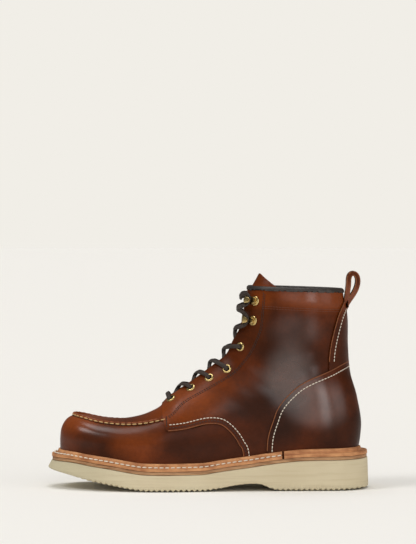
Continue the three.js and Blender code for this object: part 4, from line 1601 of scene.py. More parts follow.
@dataclass
class Stitches:
    """Rows of short threads laid on a surface.

    Attributes:
        name: Name of the piece.
        thread: Finish of the thread.
        pitch, length: Distance between stitches and length of one.
        width, lift: Thickness of the thread and how far it stands proud.
        slant: Turn of each stitch from the row, in degrees.
    """

    name: str
    thread: Thread
    pitch: float
    length: float
    width: float = 0.8
    lift: float = 0.15
    slant: float = 0.0

    def _model(self) -> bpy.types.Object:
        """One stitch along X with +Z up, in metres.

        Returns:
            The stitch.
        """
        bpy.ops.object.select_all(action="DESELECT")
        bpy.ops.mesh.primitive_uv_sphere_add(segments=8, ring_count=6, radius=1, rotation=(0, math.pi / 2, 0))
        piece = bpy.context.object
        bpy.ops.object.transform_apply(rotation=True)
        for vertex in piece.data.vertices:
            x, y, z = vertex.co
            vertex.co = (math.copysign(abs(x) ** 0.6, x) * self.length / 2 * MM, y * self.width / 2 * MM,
                         z * self.width * 0.42 * MM)
        piece.data.materials.append(WARDROBE.get(self.thread))
        return piece

    def sew(self, rows: Iterable[tuple[Array, Array]], slot: str) -> Optional[bpy.types.Object]:
        """Sews the rows as one piece.

        Args:
            rows: Points and upward directions of each row, in millimetres.
            slot: Material slot of the record.

        Returns:
            The piece, or nothing where no row has a stitch.
        """
        model = self._model()
        copies = []
        for points, ups in rows:
            length = np.concatenate([[0], np.cumsum(np.linalg.norm(np.diff(points, axis=0), axis=1))])
            for middle in np.arange(self.pitch / 2, length[-1] - self.length / 2, self.pitch):
                ends = [np.array([np.interp(s, length, points[:, k]) for k in range(3)])
                        for s in (middle - self.length / 2, middle + self.length / 2)]
                up = unit(np.array([np.interp(middle, length, ups[:, k]) for k in range(3)]))
                ahead = unit(ends[1] - ends[0])
                aside = unit(np.cross(up, ahead))
                turn = math.radians(self.slant)
                ahead, aside = (ahead * math.cos(turn) + aside * math.sin(turn),
                                aside * math.cos(turn) - ahead * math.sin(turn))
                place = (ends[0] + ends[1]) / 2 + up * self.lift
                copy = duplicate(model, "stitch")
                copy.data.transform(Matrix((
                    (ahead[0], aside[0], up[0], place[0] * MM), (ahead[1], aside[1], up[1], place[1] * MM),
                    (ahead[2], aside[2], up[2], place[2] * MM), (0, 0, 0, 1))))
                copies.append(copy)
        bpy.data.objects.remove(model)
        if not copies:
            return None
        only(*copies)
        bpy.ops.object.join()
        piece = copies[0]
        piece.name = piece.data.name = self.name
        face_outwards(piece)
        return settle(piece, slot, degrees=60)


# Upper


@dataclass
class Upper:
    """Vamp with the moccasin seam, quarters with their open throat, and the seams on them."""

    vamp_lap: float = 6.0
    lip_width: float = 2.6
    lip_rise: float = 2.6
    moc_pitch: float = 5.6
    moc_length: float = 4.3
    eyelet_hole: float = 6.4

    def _throat(self) -> bpy.types.Object:
        """Body of the open throat.

        Returns:
            The cutter.
        """
        rows = np.linspace(THROAT_ROW, LAST.open_row, 70)
        foot_x, foot_z, crest_x, crest_z = LAST.ends(rows)
        inward = unit(np.stack([foot_x - crest_x, foot_z - crest_z], axis=1))
        sway = LAST.toe_swing * LAST.value(9, rows)
        half = half_gap(rows)
        rings = []
        for reach, turn in ((28, -1), (-28, -1), (-28, 1), (28, 1)):
            rings.append(np.stack([crest_x + inward[:, 0] * reach, sway + turn * half,
                                   crest_z + inward[:, 1] * reach], axis=1))
        piece = laid_tube("throat", np.stack(rings, axis=1))
        piece.data.materials.append(WARDROBE.get(RAW))
        return piece

    def _holes(self) -> bpy.types.Object:
        """Pins where the eyelets go through.

        Returns:
            The cutter.
        """
        pins = []
        for row in EYELET_ROWS:
            for side in Side:
                place, up, _, _ = facing_place(row, side, EYELET_SETBACK)
                bpy.ops.object.select_all(action="DESELECT")
                bpy.ops.mesh.primitive_cylinder_add(vertices=20, radius=self.eyelet_hole / 2 * MM,
                                                    depth=14 * MM)
                pin = bpy.context.object
                turn = Vector((0, 0, 1)).rotation_difference(Vector(up)).to_matrix().to_4x4()
                pin.data.transform(Matrix.Translation(Vector(place) * MM) @ turn)
                pin.data.materials.append(WARDROBE.get(RAW))
                pins.append(pin)
        only(*pins)
        bpy.ops.object.join()
        return pins[0]

    def build(self) -> Surface:
        """Builds the shell and its seams.

        Returns:
            The outside of the quarters, for what lies on it.
        """
        vamp_leather, quarter_leather, raw = (WARDROBE.get(f) for f in (VAMP, QUARTER, RAW))
        vamp = last_body("upper_shell", 0.0, vamp_leather)
        carve(vamp, behind(QUARTER_EDGE, -self.vamp_lap, raw), Cut.TAKE)
        quarters = last_body("quarters", STEP, quarter_leather, rings=190, around=128)
        surface = Surface(quarters)
        carve(quarters, behind(QUARTER_EDGE, 0, raw), Cut.KEEP)
        carve(quarters, self._throat(), Cut.TAKE)
        carve(vamp, quarters, Cut.JOIN)
        carve(vamp, last_body("hollow", -WALL, WARDROBE.get(LINING), creased=False, open_top=True), Cut.TAKE)
        carve(vamp, above(SOLE.seat), Cut.KEEP)
        carve(vamp, self._holes(), Cut.TAKE)
        settle(vamp, "upper_leather", "upper", degrees=34)
        self._moc_lip()
        self._seams(surface)
        return surface

    def _moc_lip(self) -> None:
        """Raised lip of the moccasin seam with its large stitches and a dark brown row of painted shade at
        its foot.
        """
        along = np.array([p[0] for p in MOC_SEAM])
        half = np.maximum(np.array([p[1] for p in MOC_SEAM]) * LAST.ball_width, 0.01)
        row = LAST.row_at_crest(along)
        signed = np.concatenate([-half[::-1], half[1:]])
        rows = np.concatenate([row[::-1], row[1:]])
        places = resample(LAST.point(rows, LAST.crest_angle(rows, signed), 0.0), 360)
        ups = resample(LAST.normal(rows, LAST.crest_angle(rows, signed)), 360)
        ups = unit(ups)
        length = np.concatenate([[0], np.cumsum(np.linalg.norm(np.diff(places, axis=0), axis=1))])
        wave = 1 - 0.05 * np.cos(2 * math.pi * length / self.moc_pitch)
        ends = np.clip(np.minimum(length, length[-1] - length) / 9, 0.25, 1)
        path = places + ups * 0.3
        profile = oval(self.lip_width, 2 * self.lip_rise, 14, 2.4)
        lip = sweep("moc_lip", path, ups, profile, np.stack([wave, wave * ends], axis=1))
        lip.data.materials.append(WARDROBE.get(VAMP))
        lip.data.materials.append(WARDROBE.get(LIP_EDGE))
        for face in lip.data.polygons:
            centre = np.array(face.center) / MM
            nearest = int(np.argmin(((path - centre) ** 2).sum(axis=1)))
            if (centre - path[nearest]) @ ups[nearest] > self.lip_rise * 0.86:
                face.material_index = 1
        settle(lip, "upper_leather", degrees=50)
        tangent = unit(np.gradient(places, axis=0))
        aside = unit(np.cross(tangent, ups))
        middle = places.mean(axis=0)
        aside *= np.sign((aside * (places - middle)).sum(axis=1).mean())
        line = places + aside * (self.lip_width * 0.5 + 0.12) + ups * 1.35
        Stitches("moc_stitches", TAN_THREAD, self.moc_pitch, self.moc_length, 1.25, 0.0).sew(
            [(line, unit(aside + 0.35 * ups))], "upper_leather")
        # A dark brown row at the lip's foot, laid with the brown thread, is painted shade in the seam's
        # recess.
        shade = places + aside * (self.lip_width * 0.5 + 0.55) + ups * 0.12
        Stitches("moc_lip_painted_shade", BROWN_THREAD_AND_SHADE, self.moc_pitch, self.moc_pitch * 0.9, 0.7, 0.0).sew(
            [(shade, ups)], "upper_leather")

    def _seams(self, surface: Surface) -> None:
        """Sews the quarter's edge, the facing and the cuff.

        Args:
            surface: Outside of the quarters.
        """
        edge = edge_line(QUARTER_EDGE, 400)
        low = SOLE.welt_top(edge[:, 0]) + 1
        edge = edge[(edge[:, 1] > low)]
        start = int(np.argmin(np.hypot(edge[:, 0] - LAST.side_point(0.366, 0.246)[0],
                                       edge[:, 1] - LAST.side_point(0.366, 0.246)[1])))
        white, brown = [], []
        for side in Side:
            for rows, distance, first in ((white, -5.2, start + 2), (brown, -2.4, start + 2)):
                points, ups = surface.side(parallel(edge, distance)[first:], side)
                keep = points[:, 2] > SOLE.welt_top(points[:, 0]) + 3
                rows.append((points[keep], ups[keep]))
        raw_bead("quarter_edge", [surface.side(edge[start:], side) for side in Side])
        Stitches("quarter_white_stitches", WHITE_THREAD, *PANEL_SEAM).sew(white, "upper_leather")
        facing, cuff = [], []
        for side in Side:
            for distance in (0.0, 1.4):
                facing.append(surface.side(parallel(resample(FACING_SEAM, 320), distance), side))
            for drop in (0.0, 2.0):
                x = np.linspace(51.5, 134.0, 200)
                points, ups = surface.side(np.stack([x, 175.2 - 0.048 * (x - 51.5) - drop], axis=1), side)
                cuff.append((points, ups))
        Stitches("facing_stitches", BROWN_THREAD_AND_SHADE, 2.6, 1.9, 0.8, 0.15).sew(facing, "upper_leather")
        Stitches("quarter_dark_stitches", BROWN_THREAD_AND_SHADE, 2.9, 2.2, 0.75, 0.1).sew(brown, "upper_leather")
        Stitches("cuff_stitches", Thread("thread_rust", tone(104, 54, 34)), 2.8, 2.0, 0.55, 0.08).sew(
            cuff, "upper_leather")
        tacks = []
        for side in Side:
            x, z = LAST.side_point(0.352, 0.30)
            column = np.stack([np.linspace(x + 2.2, x + 3.0, 12), np.linspace(z + 4.5, z - 5.5, 12)], axis=1)
            points, ups = surface.side(column, side)
            tacks.append((points, ups))
        Stitches("tab_tacks", BROWN_THREAD_AND_SHADE, 1.9, 1.5, 1.0, 0.15).sew(tacks, "upper_leather")


def raw_bead(name: str, lines: Sequence[tuple[Array, Array]]) -> None:
    """Tan cut edge of a panel, a thin rounded line on its corner.

    Args:
        name: Name of the piece.
        lines: Points and outward directions of each edge.
    """
    beads = []
    for points, ups in lines:
        path, up = resample(points, 150), resample(ups, 150)
        beads.append(sweep(name, path - 0.3 * up, unit(up), oval(1.0, 1.0, 8)))
        beads[-1].data.materials.append(WARDROBE.get(RAW))
    only(*beads)
    bpy.ops.object.join()
    settle(beads[0], "upper_leather", degrees=60)


def facing_place(row: float, side: Side, setback: float) -> tuple[Array, Array, Array, Array]:
    """Place of a fitting beside the throat.

    Args:
        row: Section of the last.
        side: Side of the boot.
        setback: Distance from the throat's edge.

    Returns:
        The point on the quarter, and its outward, upward and throatward directions.
    """
    angle = float(LAST.crest_angle(row, side.value * (half_gap(row) + setback)))
    normal = LAST.normal(np.array([row]), np.array([angle]))[0]
    ends = LAST.point(np.array([row + 0.1, row - 0.1]), np.array([angle, angle]), 0.0, False)
    along = unit(ends[0] - ends[1])
    across = unit(np.cross(along, normal)) * side.value
    place = LAST.point(np.array([row]), np.array([angle]), STEP)[0]
    return place, normal, along, across


@dataclass
class HeelOverlays:
    """Heel counter, and the backstay with its pull loop."""

    loop_height: float = 24.0
    loop_reach: float = 13.0
    loop_width: float = 17.0
    loop_thickness: float = 4.4
    loop_edge: float = 0.9

    def build(self) -> None:
        """Builds both overlays and their seams."""
        raw = WARDROBE.get(RAW)
        leather = WARDROBE.get(COUNTER)
        outside = last_body("heel_counter_shell", COUNTER_OFFSET, leather)
        surface = Surface(outside)
        backstay = last_body("backstay_strip", COUNTER_OFFSET, WARDROBE.get(QUARTER))
        inside = last_body("inside", STEP + GAP, raw, open_top=True)
        carve(outside, inside, Cut.TAKE, keep_cutter=True)
        carve(backstay, inside, Cut.TAKE)
        carve(outside, under(COUNTER_EDGE, 0, raw), Cut.KEEP)
        carve(outside, above(SOLE.seat, raw), Cut.KEEP)
        settle(outside, "upper_leather", "heel_counter")
        line = edge_line(BACKSTAY_EDGE)
        region = np.vstack([line, [[SOLE.length, line[-1][1]], [SOLE.length, line[0][1]]]])
        carve(backstay, prism("region", region, raw), Cut.KEEP)
        carve(backstay, under(COUNTER_EDGE, GAP, raw), Cut.TAKE)
        settle(backstay, "upper_leather")
        self._loop()
        counter, stay = [], []
        edge = edge_line(COUNTER_EDGE, 1600)
        edge = edge[edge[:, 1] > SOLE.welt_top(edge[:, 0]) + 4]
        stay_edge = edge_line(BACKSTAY_EDGE, 200)
        stay_edge = stay_edge[stay_edge[:, 1] > LAST.side_point(0.9, 0.57)[1]]
        for side in Side:
            counter.append(surface.side(parallel(edge, -4.6), side))
            stay.append(surface.side(parallel(stay_edge, -4.4)[4:], side))
        raw_bead("counter_edge", [surface.side(edge[:-20], side) for side in Side])
        raw_bead("backstay_edge", [surface.side(stay_edge, side) for side in Side])
        Stitches("counter_stitches", WHITE_THREAD, *PANEL_SEAM).sew(counter, "upper_leather")
        Stitches("backstay_stitches", WHITE_THREAD, *PANEL_SEAM).sew(stay, "upper_leather")

    def _loop(self) -> None:
        """Builds the pull loop, folded over the collar at the heel."""
        low = float(LAST.side_point(*BACKSTAY_EDGE[0])[1])
        near = LAST.toe_x + LAST.length * 0.945 + STEP + GAP + 1.3
        bends = ((0.10, -0.30), (0.12, 0.0), (0.20, 0.30), (0.27, 0.60), (0.30, 0.86), (0.40, 1.01),
                 (0.61, 1.07), (0.82, 1.02), (0.94, 0.89), (0.96, 0.70), (0.85, 0.46), (0.64, 0.24),
                 (0.40, 0.05), (0.17, -0.14), (-0.03, -0.40), (-0.17, -0.64))
        places = [(near + a * self.loop_reach, 0, low + b * self.loop_height) for a, b in bends]
        path = resample(places, 120)
        half, thick = self.loop_width / 2, self.loop_thickness / 2
        edge = thick - self.loop_edge
        outline = np.array([(-half, -thick), (-half, -edge), (-half, edge), (-half, thick),
                            (-half + 0.4, thick + 0.15), (0, thick + 0.15), (half - 0.4, thick + 0.15),
                            (half, thick), (half, edge), (half, -edge), (half, -thick),
                            (half - 0.4, -thick - 0.15), (0, -thick - 0.15), (-half + 0.4, -thick - 0.15)])
        tangent = unit(np.gradient(path, axis=0))
        ups = np.cross(np.tile([0.0, 1.0, 0.0], (len(path), 1)), tangent)
        loop = sweep("pull_loop_strap", path, ups, outline)
        for material in (WARDROBE.get(QUARTER), WARDROBE.get(RAW), WARDROBE.get(DARK_BACK)):
            loop.data.materials.append(material)
        for face in loop.data.polygons:
            centre = np.array(face.center) / MM
            nearest = int(np.argmin(((path - (centre[0], 0, centre[2])) ** 2).sum(axis=1)))
            across = (centre - path[nearest]) @ ups[nearest]
            if abs(centre[1]) > half - 0.3:
                face.material_index = int(abs(across) > edge * 0.9)
            elif across * self._inner_sign(path, ups) > 0:
                face.material_index = 2
        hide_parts("backstay")
        settle(loop, "upper_leather", degrees=45)

    @staticmethod
    def _inner_sign(path: Array, ups: Array) -> float:
        """Sign of the upward direction that looks into the loop."""
        return float(np.sign(((path[20:100].mean(axis=0) - path[20:100]) * ups[20:100]).sum()))


@dataclass
class Collar:
    """Black binding on the collar's rim."""

    height: float = 3.4
    lap: float = 0.5

    def build(self) -> None:
        """Builds the binding."""
        row = LAST.collar_row
        start, end = (float(LAST.crest_angle(row, side * float(half_gap(row)))) for side in (-1, 1))
        angles = np.linspace(start, end - 2 * math.pi, 170)
        rows = np.full(len(angles), row)
        out, into = STEP + self.lap, -WALL - self.lap
        low, high, top = 0.6 * self.height, 0.88 * self.height, self.height + 0.1
        outline = [(into, 0.4), (into, -0.7), (out + 0.5, -0.7), (out + 0.6, 0.4), (out + 0.3, low),
                   (out - 0.5, high), (out - 1.4, top), (into + 1.4, top), (into + 0.5, high), (into, low)]
        rings = []
        for offset, rise in outline:
            points = LAST.point(rows, angles, offset, False)
            rings.append(points + (0, 0, GAP + rise))
        piece = laid_tube("collar_binding_tape", np.stack(rings, axis=1))
        piece.data.materials.append(WARDROBE.get(BindingTape()))
        settle(piece, "binding_tape", "collar_binding", degrees=60)


@dataclass
class Tongue:
    """Curved leather tongue behind the throat, leaning back over the collar."""

    thickness: float = 2.2
    width: float = 58.0
    top_width: float = 50.0
    rise: float = 15.0
    lean: float = 8.0
    curl: float = 6.0
    crown: float = 0.8
    room: float = 0.9
    start_row: float = 7.35

    def build(self) -> None:
        """Builds the tongue."""
        steps, over_steps, across = 90, 26, 40
        rings = []
        for i in range(steps + over_steps + 1):
            over = max(0, i - steps) / over_steps
            share = min(1, i / steps)
            row = lerp(self.start_row, LAST.collar_row, share)
            width = lerp(self.width, self.top_width, share)
            spread = width * (np.linspace(0, 1, across + 1) - 0.5)
            spread[np.abs(spread) < 1e-6] = 1e-3
            wave = 0.5 * math.sin(3.1 * i / 20) * np.cos(np.linspace(-2, 2, across + 1)) * (share ** 2)
            bow = np.linspace(-1, 1, across + 1)[:, None] ** 2
            aft, up = self.lean + self.curl * bow, self.rise * (1 - self.crown * bow)
            lift = over * np.hstack([aft, 0 * bow, up])
            section = np.full(across + 1, row)
            angle = LAST.crest_angle(section, spread)
            sides = []
            for offset in (-WALL - self.room, -WALL - self.room - self.thickness):
                sides.append(LAST.point(section, angle, offset - 0.3 + 0.3 * wave, False) + lift)
            rings.append(np.vstack([sides[0], sides[1][::-1]]))
        front, back = rings[-1][: across + 1], rings[-1][across + 1:][::-1]
        places = np.arange(across + 1)
        for share in np.linspace(1, 0.1, 10):
            here = across / 2 + (places - across / 2) * share
            line, aside = (np.stack([np.interp(here, places, part[:, i]) for i in range(3)], axis=1)
                           for part in ((front + back) / 2 + (0, 0, 0.5), 0.02 * (front - back)))
            rings.append(np.vstack([line + aside, (line - aside)[::-1]]))
        piece = laid_tube("tongue_leather", np.array(rings))
        for material in (WARDROBE.get(VAMP), WARDROBE.get(DARK_BACK), WARDROBE.get(LIP_EDGE)):
            piece.data.materials.append(material)
        wide = across + 1
        outer = np.array(rings)[:, :wide].reshape(-1, 3)
        corners = [r * wide + c for r in range(len(rings) - 1) for c in range(across)]
        tree = BVHTree.FromPolygons([Vector(p) for p in outer],
                                    [(k, k + 1, k + wide + 1, k + wide) for k in corners])
        for face in piece.data.polygons:
            away = tree.find_nearest(face.center / MM)[3]
            if away > self.thickness * 0.75:
                face.material_index = 1
            elif away > 0.15:
                face.material_index = 2
        settle(piece, "upper_leather", "tongue", degrees=50)


@dataclass
class Insole:
    """Pale layer under the foot."""

    thickness: float = 3.0

    def build(self) -> None:
        """Builds the insole."""
        pale = WARDROBE.get(LayeredTan("insole_leather", tone(178, 146, 108), tone(150, 116, 82), 0.2))
        piece = last_body("insole_layer", -WALL - GAP, pale, creased=False, rings=90, around=80)
        top = height_line(lambda x: SOLE.seat(x) + self.thickness)
        carve(piece, prism("slab", np.vstack([height_line(SOLE.seat), top[::-1]]), pale), Cut.KEEP)
        settle(piece, "insole_leather", "insole")


# Fittings and lacing


@dataclass
class Fittings:
    """Brass eyelets and the hooks over them."""

    rim: float = 9.2
    hole: float = 4.8
    rise: float = 1.25
    base: float = 9.6
    plate_width: float = 8.5
    plate: float = 1.0
    reach: float = 5.5
    mouth: float = 4.6

    def _place(self, piece: bpy.types.Object, point: Array, aside: Array, up: Array) -> None:
        """Sets a piece modelled at the origin, with +Z up and +X towards the throat, in its place.

        Args:
            piece: The piece.
            point: Where its origin goes.
            aside: Where its +X points.
            up: Where its +Z points.
        """
        other = np.cross(up, aside)
        piece.data.transform(Matrix((
            (aside[0], other[0], up[0], point[0] * MM), (aside[1], other[1], up[1], point[1] * MM),
            (aside[2], other[2], up[2], point[2] * MM), (0, 0, 0, 1))))

    def _ring(self, outline: Sequence[tuple[float, float]], sides: int = 40) -> bpy.types.Object:
        """A turned ring from a closed outline of radius and height, in millimetres.

        Args:
            outline: Radii and heights.
            sides: Number of steps round.

        Returns:
            The ring.
        """
        bpy.ops.object.select_all(action="DESELECT")
        bpy.ops.mesh.primitive_torus_add(major_segments=sides, minor_segments=len(outline), major_radius=1,
                                         minor_radius=0.25)
        piece = bpy.context.object
        around = len(outline)
        for vertex in piece.data.vertices:
            turn = 2 * math.pi * (vertex.index // around) / sides
            radius, height = outline[vertex.index % around]
            vertex.co = (radius * math.cos(turn) * MM, radius * math.sin(turn) * MM, height * MM)
        face_outwards(piece)
        return piece

    def _eyelet(self) -> bpy.types.Object:
        """One eyelet with a rolled rim and its barrel.

        Returns:
            The eyelet.
        """
        hole, rim = self.hole / 2, self.rim / 2
        return self._ring([
            (hole, -3.0), (hole + 0.6, -3.0), (hole + 0.6, -0.05), (rim, -0.05), (rim + 0.05, 0.25),
            (rim - 0.25, 0.75), (rim - 0.95, self.rise), (hole + 0.55, self.rise - 0.1),
            (hole + 0.1, 0.75), (hole, 0.2)])

    def _hook(self) -> bpy.types.Object:
        """One hook: a riveted ring base and a plate that curls over the lace.

        Returns:
            The hook.
        """
        base = self.base / 2
        ring = self._ring([
            (1.5, 0.0), (base, 0.0), (base + 0.05, 0.45), (base - 0.4, 1.05), (base - 1.2, 1.25),
            (base - 2.1, 0.8), (2.3, 1.1), (1.7, 1.0)])
        floor, curl = 1.25, (self.mouth + 2 * self.plate) / 2
        middle = curl - self.plate / 2
        arc = [(self.reach + middle * math.sin(t), 0, floor + curl - middle * math.cos(t))
               for t in np.linspace(0.15, math.pi - 0.15, 16)]
        path = [(-1.5, 0, floor - 0.1 + self.plate / 2), (1.5, 0, floor + self.plate / 2)] + arc
        path.append((0.35 * self.reach, 0, floor + 2 * curl - self.plate / 2 - 0.5))
        path = resample(path, 40)
        share = np.linspace(0, 1, 40)
        wide = 0.62 + 0.38 * np.clip(np.sin(math.pi * np.clip(share * 1.25 - 0.1, 0, 1)), 0, 1)
        wide[-4:] *= (0.97, 0.9, 0.78, 0.6)
        tangent = unit(np.gradient(path, axis=0))
        ups = np.cross(np.tile([0.0, 1.0, 0.0], (len(path), 1)), tangent)
        plate = sweep("plate", path, ups, oval(self.plate_width, self.plate, 16, 4.0),
                      np.stack([wide, np.ones(40)], axis=1))
        only(ring, plate)
        bpy.ops.object.join()
        return ring

    def build(self) -> None:
        """Builds every eyelet and hook."""
        for count, row in enumerate(EYELET_ROWS, 1):
            for side in Side:
                point, normal, _, across = facing_place(row, side, EYELET_SETBACK)
                self._dress(self._eyelet(), f"eyelet_{side.name.lower()}_{count}", point, across, normal)
        for count, row in enumerate(HOOK_ROWS, 1):
            for side in Side:
                point, normal, _, across = facing_place(row, side, HOOK_SETBACK)
                self._dress(self._hook(), f"hook_{side.name.lower()}_{count}", point, across, normal)

    def _dress(self, piece: bpy.types.Object, node: str, point: Array, aside: Array, up: Array) -> None:
        """Places a fitting for its node.

        Args:
            piece: The fitting, at the origin.
            node: CAD node that it replaces.
            point: Its place.
            aside: Direction towards the throat.
            up: Outward direction.
        """
        self._place(piece, point, unit(aside), unit(up))
        piece.name = piece.data.name = f"{node}_brass"
        piece.data.materials.clear()
        piece.data.materials.append(WARDROBE.get(Brass()))
        settle(piece, "brass_fittings", node, degrees=50)


@dataclass
class Lacing:
    """One flat lace from the bar at the vamp up to the top hooks.

    Attributes:
        width, thickness: Its size.
        total: Length laid so far.
        into_first, out_of_first, round_second: Its bends at the hooks, each along the boot's front,
            towards the throat and outwards.
    """

    width: float = 4.4
    thickness: float = 2.0
    total: float = 0.0
    into_first: tuple = (
        (-6.6, 9.5, 3.8), (-4.2, 5.6, 4.1), (-0.8, 4.2, 4.3), (2.6, 4.6, 4.3), (5.6, 7.6, 4.4))
    out_of_first: tuple = ((5.4, 7.4, 4.4), (7.6, 11.5, 5.4))
    round_second: tuple = (
        (-6.8, 11.0, 5.4), (-4.2, 6.0, 4.2), (-0.6, 4.2, 4.3), (2.8, 4.6, 4.3), (5.0, 8.5, 4.4),
        (4.2, 13.0, 4.6), (0.6, 15.6, 3.6), (2.6, 15.6, 0.4), (6.4, 13.2, -3.2))

    def _lay(self, name: str, places: Sequence[tuple[Array, Array]], nodes: Sequence[str],
             count: int = 70) -> None:
        """Lays one stretch of lace.

        Args:
            name: Name of the piece.
            places: Points and upward directions that it follows.
            nodes: CAD nodes that it stands for.
            count: Number of rings.
        """
        path = resample([p for p, _ in places], count)
        ups = unit(resample([u for _, u in places], count))
        piece = sweep(name, path, ups, oval(self.width, self.thickness, 14, 2.3))
        piece.data.materials.append(WARDROBE.get(LaceCord()))
        settle(piece, "lace_cord", *nodes, degrees=60)
        self.total += path_length(path)

    @staticmethod
    def _on(row: float, side: float, distance: float, offset: float) -> tuple[Array, Array]:
        """Finds a place beside the middle of a section, over the last.

        Args:
            row: Section of the last.
            side: Sign of the side's Y.
            distance: Distance from the middle, along the section.
            offset: Height over the last.

        Returns:
            The place and its outward direction.
        """
        rows = np.array([row])
        angle = LAST.crest_angle(rows, np.array([side * max(distance, 0.01)]))
        return LAST.point(rows, angle, offset, False)[0], LAST.normal(rows, angle)[0]

    def _strand(self, start: float, end: float, side: float, top: float) -> list[tuple[Array, Array]]:
        """Lays out a crossing from under the facing at one eyelet into the next one of the other side.

        Args:
            start: Row of the lower eyelet.
            end: Row of the upper eyelet.
            side: Sign of the lower eyelet's Y.
            top: Extra height where the two strands cross.

        Returns:
            Its places and their outward directions.
        """
        near_gap, far_gap = float(half_gap(start)), float(half_gap(end))
        rise = end - start
        return [self._on(start + 0.04 * rise, side, near_gap + EYELET_SETBACK - 0.5, -2.6),
                self._on(start + 0.12 * rise, side, near_gap + 1.0, -1.5),
                self._on(start + 0.26 * rise, side, near_gap - 3.0, 0.6),
                self._on((start + end) / 2, side, 0.01, 2.0 + top),
                self._on(end - 0.34 * rise, -side, far_gap - 2.5, 4.3),
                self._on(end - 0.20 * rise, -side, far_gap + 1.5, 4.2),
                self._on(end - 0.07 * rise, -side, far_gap + EYELET_SETBACK - 2.6, 3.9),
                self._on(end, -side, far_gap + EYELET_SETBACK - 0.2, 2.2),
                self._on(end + 0.02, -side, far_gap + EYELET_SETBACK + 0.3, -1.2),
                self._on(end + 0.02, -side, far_gap + EYELET_SETBACK + 0.2, -3.6)]

    def build(self) -> None:
        """Builds the bar, the crossings and the turns round the hooks."""
        row = EYELET_ROWS[0]
        reach = float(half_gap(row)) + EYELET_SETBACK
        bar = []
        for share in np.linspace(-1, 1, 13):
            side = -1 if share < 0 else 1
            away = abs(share) * reach
            lift = 3.2 + 1.1 * (1 - abs(share)) if abs(share) < 0.9 else 1.4
            bar.append(self._on(row - 0.05, side, away, lift))
        ends = [self._on(row, side, reach + 0.2, -3.0) for side in (-1, 1)]
        self._lay("lace_bar", [ends[0], *bar, ends[1]], ["lace_bar_low"])
        rows = EYELET_ROWS
        for i in range(len(rows) - 1):
            for side, top in ((1, 0.9), (-1, -0.6)):
                nodes = [f"lace_cross_{i + 1}"]
                name = f"lace_cross_{i + 1}_{'a' if side > 0 else 'b'}"
                self._lay(name, self._strand(rows[i], rows[i + 1], side, top), nodes)
        self._hooks()
        log.info("lace: %.0f mm shown", self.total)

    @staticmethod
    def _at_hook(row: float, side: float, along: float, aside: float,
                 lift: float) -> tuple[Array, Array]:
        """Finds a place at a hook.

        Args:
            row: The hook's row.
            side: Sign of its Y.
            along: Distance along the boot's front.
            aside: Distance towards the throat.
            lift: Distance outwards.

        Returns:
            The place and its outward direction.
        """
        point, normal, ahead, across = facing_place(row, Side(int(side)), HOOK_SETBACK)
        return point + ahead * along + across * aside + normal * lift, normal

    def _hooks(self) -> None:
        """Lays the lace through the hooks, with its slack turn over the top ones."""
        low, (first, second) = EYELET_ROWS[-1], HOOK_ROWS
        low_gap, first_gap, second_gap = (float(half_gap(row)) for row in (low, first, second))
        rise = first - low
        for side, top in ((1, 0.9), (-1, -0.6)):
            letter = "a" if side > 0 else "b"
            path = [self._on(low + 0.04 * rise, side, low_gap + EYELET_SETBACK - 0.5, -2.6),
                    self._on(low + 0.12 * rise, side, low_gap + 1.0, -1.4),
                    self._on(low + 0.28 * rise, side, low_gap - 3.0, 1.0),
                    self._on(low + 0.55 * rise, side, 0.01, 2.6 + top),
                    self._on(first - 0.42 * rise, -side, first_gap - 3.0, 5.2)]
            path += [self._at_hook(first, -side, *bend) for bend in self.into_first]
            self._lay(f"lace_cross_5_{letter}", path, ["lace_cross_5"], 90)
            path = [self._at_hook(first, side, *bend) for bend in self.out_of_first]
            path += [self._on(lerp(first, second, 0.42), side, first_gap - 5.0, 6.2),
                     self._on(lerp(first, second, 0.5), side, 0.01, 4.4 + top),
                     self._on(lerp(first, second, 0.52), -side, second_gap - 5.5, 6.6)]
            path += [self._at_hook(second, -side, *bend) for bend in self.round_second]
            self._lay(f"lace_cross_6_{letter}", path, ["lace_cross_6"], 110)


# Studio


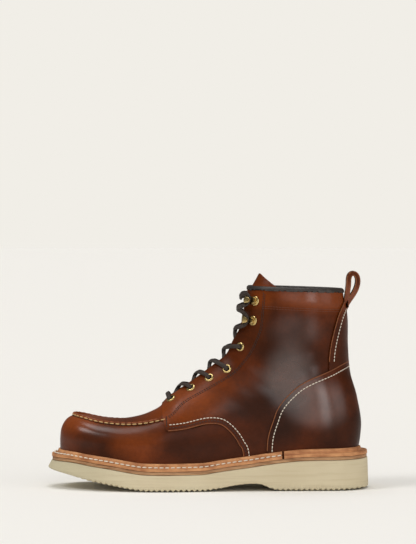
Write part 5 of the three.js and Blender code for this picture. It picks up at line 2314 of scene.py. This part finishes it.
@dataclass
class Studio:
    """Pale floor, soft light and the photograph's camera."""

    distance: float = 2.5
    eye: float = 0.25
    aim: float = 0.2074
    lens: float = 171.1
    room_light: float = 0.42
    room_shine: float = 0.12
    lamps: tuple = (
        ("right_box", (0.80, -0.45, 0.35), 44, 0.45), ("left_box", (-0.60, -0.30, 0.74), 22, 0.85),
        ("front_box", (0.16, -0.78, 0.53), 22, 0.32), ("low_box", (-0.14, -0.98, 0.02), 32, 0.42),
        ("corner_box", (0.45, -0.89, 0.07), 18, 0.34), ("top_box", (-0.05, 0.10, 1.0), 34, 1.15))

    def build(self) -> None:
        """Sets up floor, world, lights and camera."""
        bpy.ops.object.select_all(action="DESELECT")
        bpy.ops.mesh.primitive_plane_add(size=1)
        floor = bpy.context.object
        floor.name = "floor_sheet"
        for vertex in floor.data.vertices:
            vertex.co = (vertex.co.x * 60, vertex.co.y * 60, -0.0006)
        floor.data.materials.append(WARDROBE.get(FloorPaper()))
        world = bpy.data.worlds.new("studio")
        bpy.context.scene.world = world
        world.use_nodes = True
        tree = world.node_tree
        shade = tree.nodes["Background"]
        shade.inputs["Color"].default_value = (*tone(241, 238, 231), 1)
        path = tree.nodes.new("ShaderNodeLightPath")
        glossy, seen = tree.nodes.new("ShaderNodeMapRange"), tree.nodes.new("ShaderNodeMapRange")
        glossy.inputs["To Min"].default_value = self.room_light
        glossy.inputs["To Max"].default_value = self.room_shine
        tree.links.new(path.outputs["Is Glossy Ray"], glossy.inputs["Value"])
        tree.links.new(glossy.outputs["Result"], seen.inputs["To Min"])
        tree.links.new(path.outputs["Is Camera Ray"], seen.inputs["Value"])
        tree.links.new(seen.outputs["Result"], shade.inputs["Strength"])
        for lamp in self.lamps:
            self._sun(*lamp)
        data = bpy.data.cameras.new("photo_camera")
        data.lens = self.lens
        camera = bpy.data.objects.new("photo_camera", data)
        bpy.context.collection.objects.link(camera)
        camera.location = (0, -self.distance, self.eye)
        aim = Vector((0, 0, self.aim)) - camera.location
        camera.rotation_euler = aim.to_track_quat("-Z", "Y").to_euler()
        bpy.context.scene.camera = camera
        bpy.context.scene.view_settings.view_transform = "Standard"

    @staticmethod
    def _sun(name: str, place: tuple[float, float, float], spread: float, power: float) -> None:
        """One large soft light, even over the floor.

        Args:
            name: Its name.
            place: Direction that it comes from.
            spread: Its width in degrees.
            power: Its strength.
        """
        data = bpy.data.lights.new(name, "SUN")
        data.angle, data.energy = math.radians(spread), power
        lamp = bpy.data.objects.new(name, data)
        bpy.context.collection.objects.link(lamp)
        lamp.location = place
        lamp.rotation_euler = (-Vector(place)).to_track_quat("-Z", "Y").to_euler()


def outside_of_boot() -> Surface:
    """Outside of upper, quarters and counter, for what lies round their foot.

    Returns:
        The surface.
    """
    plain = WARDROBE.get(VAMP)
    body = last_body("outside", 0.0, plain)
    quarters = last_body("outside_quarters", STEP, plain)
    carve(quarters, behind(QUARTER_EDGE, 0, plain), Cut.KEEP)
    carve(body, quarters, Cut.JOIN)
    counter = last_body("outside_counter", COUNTER_OFFSET, plain)
    carve(counter, under(COUNTER_EDGE, 0, plain), Cut.KEEP)
    carve(body, counter, Cut.JOIN)
    surface = Surface(body)
    bpy.data.objects.remove(body)
    return surface


def main() -> None:
    """Builds the boot piece by piece."""
    Studio().build()
    Sole().build()
    Welt().build(outside_of_boot())
    Insole().build()
    Upper().build()
    HeelOverlays().build()
    Collar().build()
    Tongue().build()
    Fittings().build()
    Lacing().build()


if __name__ == "__main__":
    main()
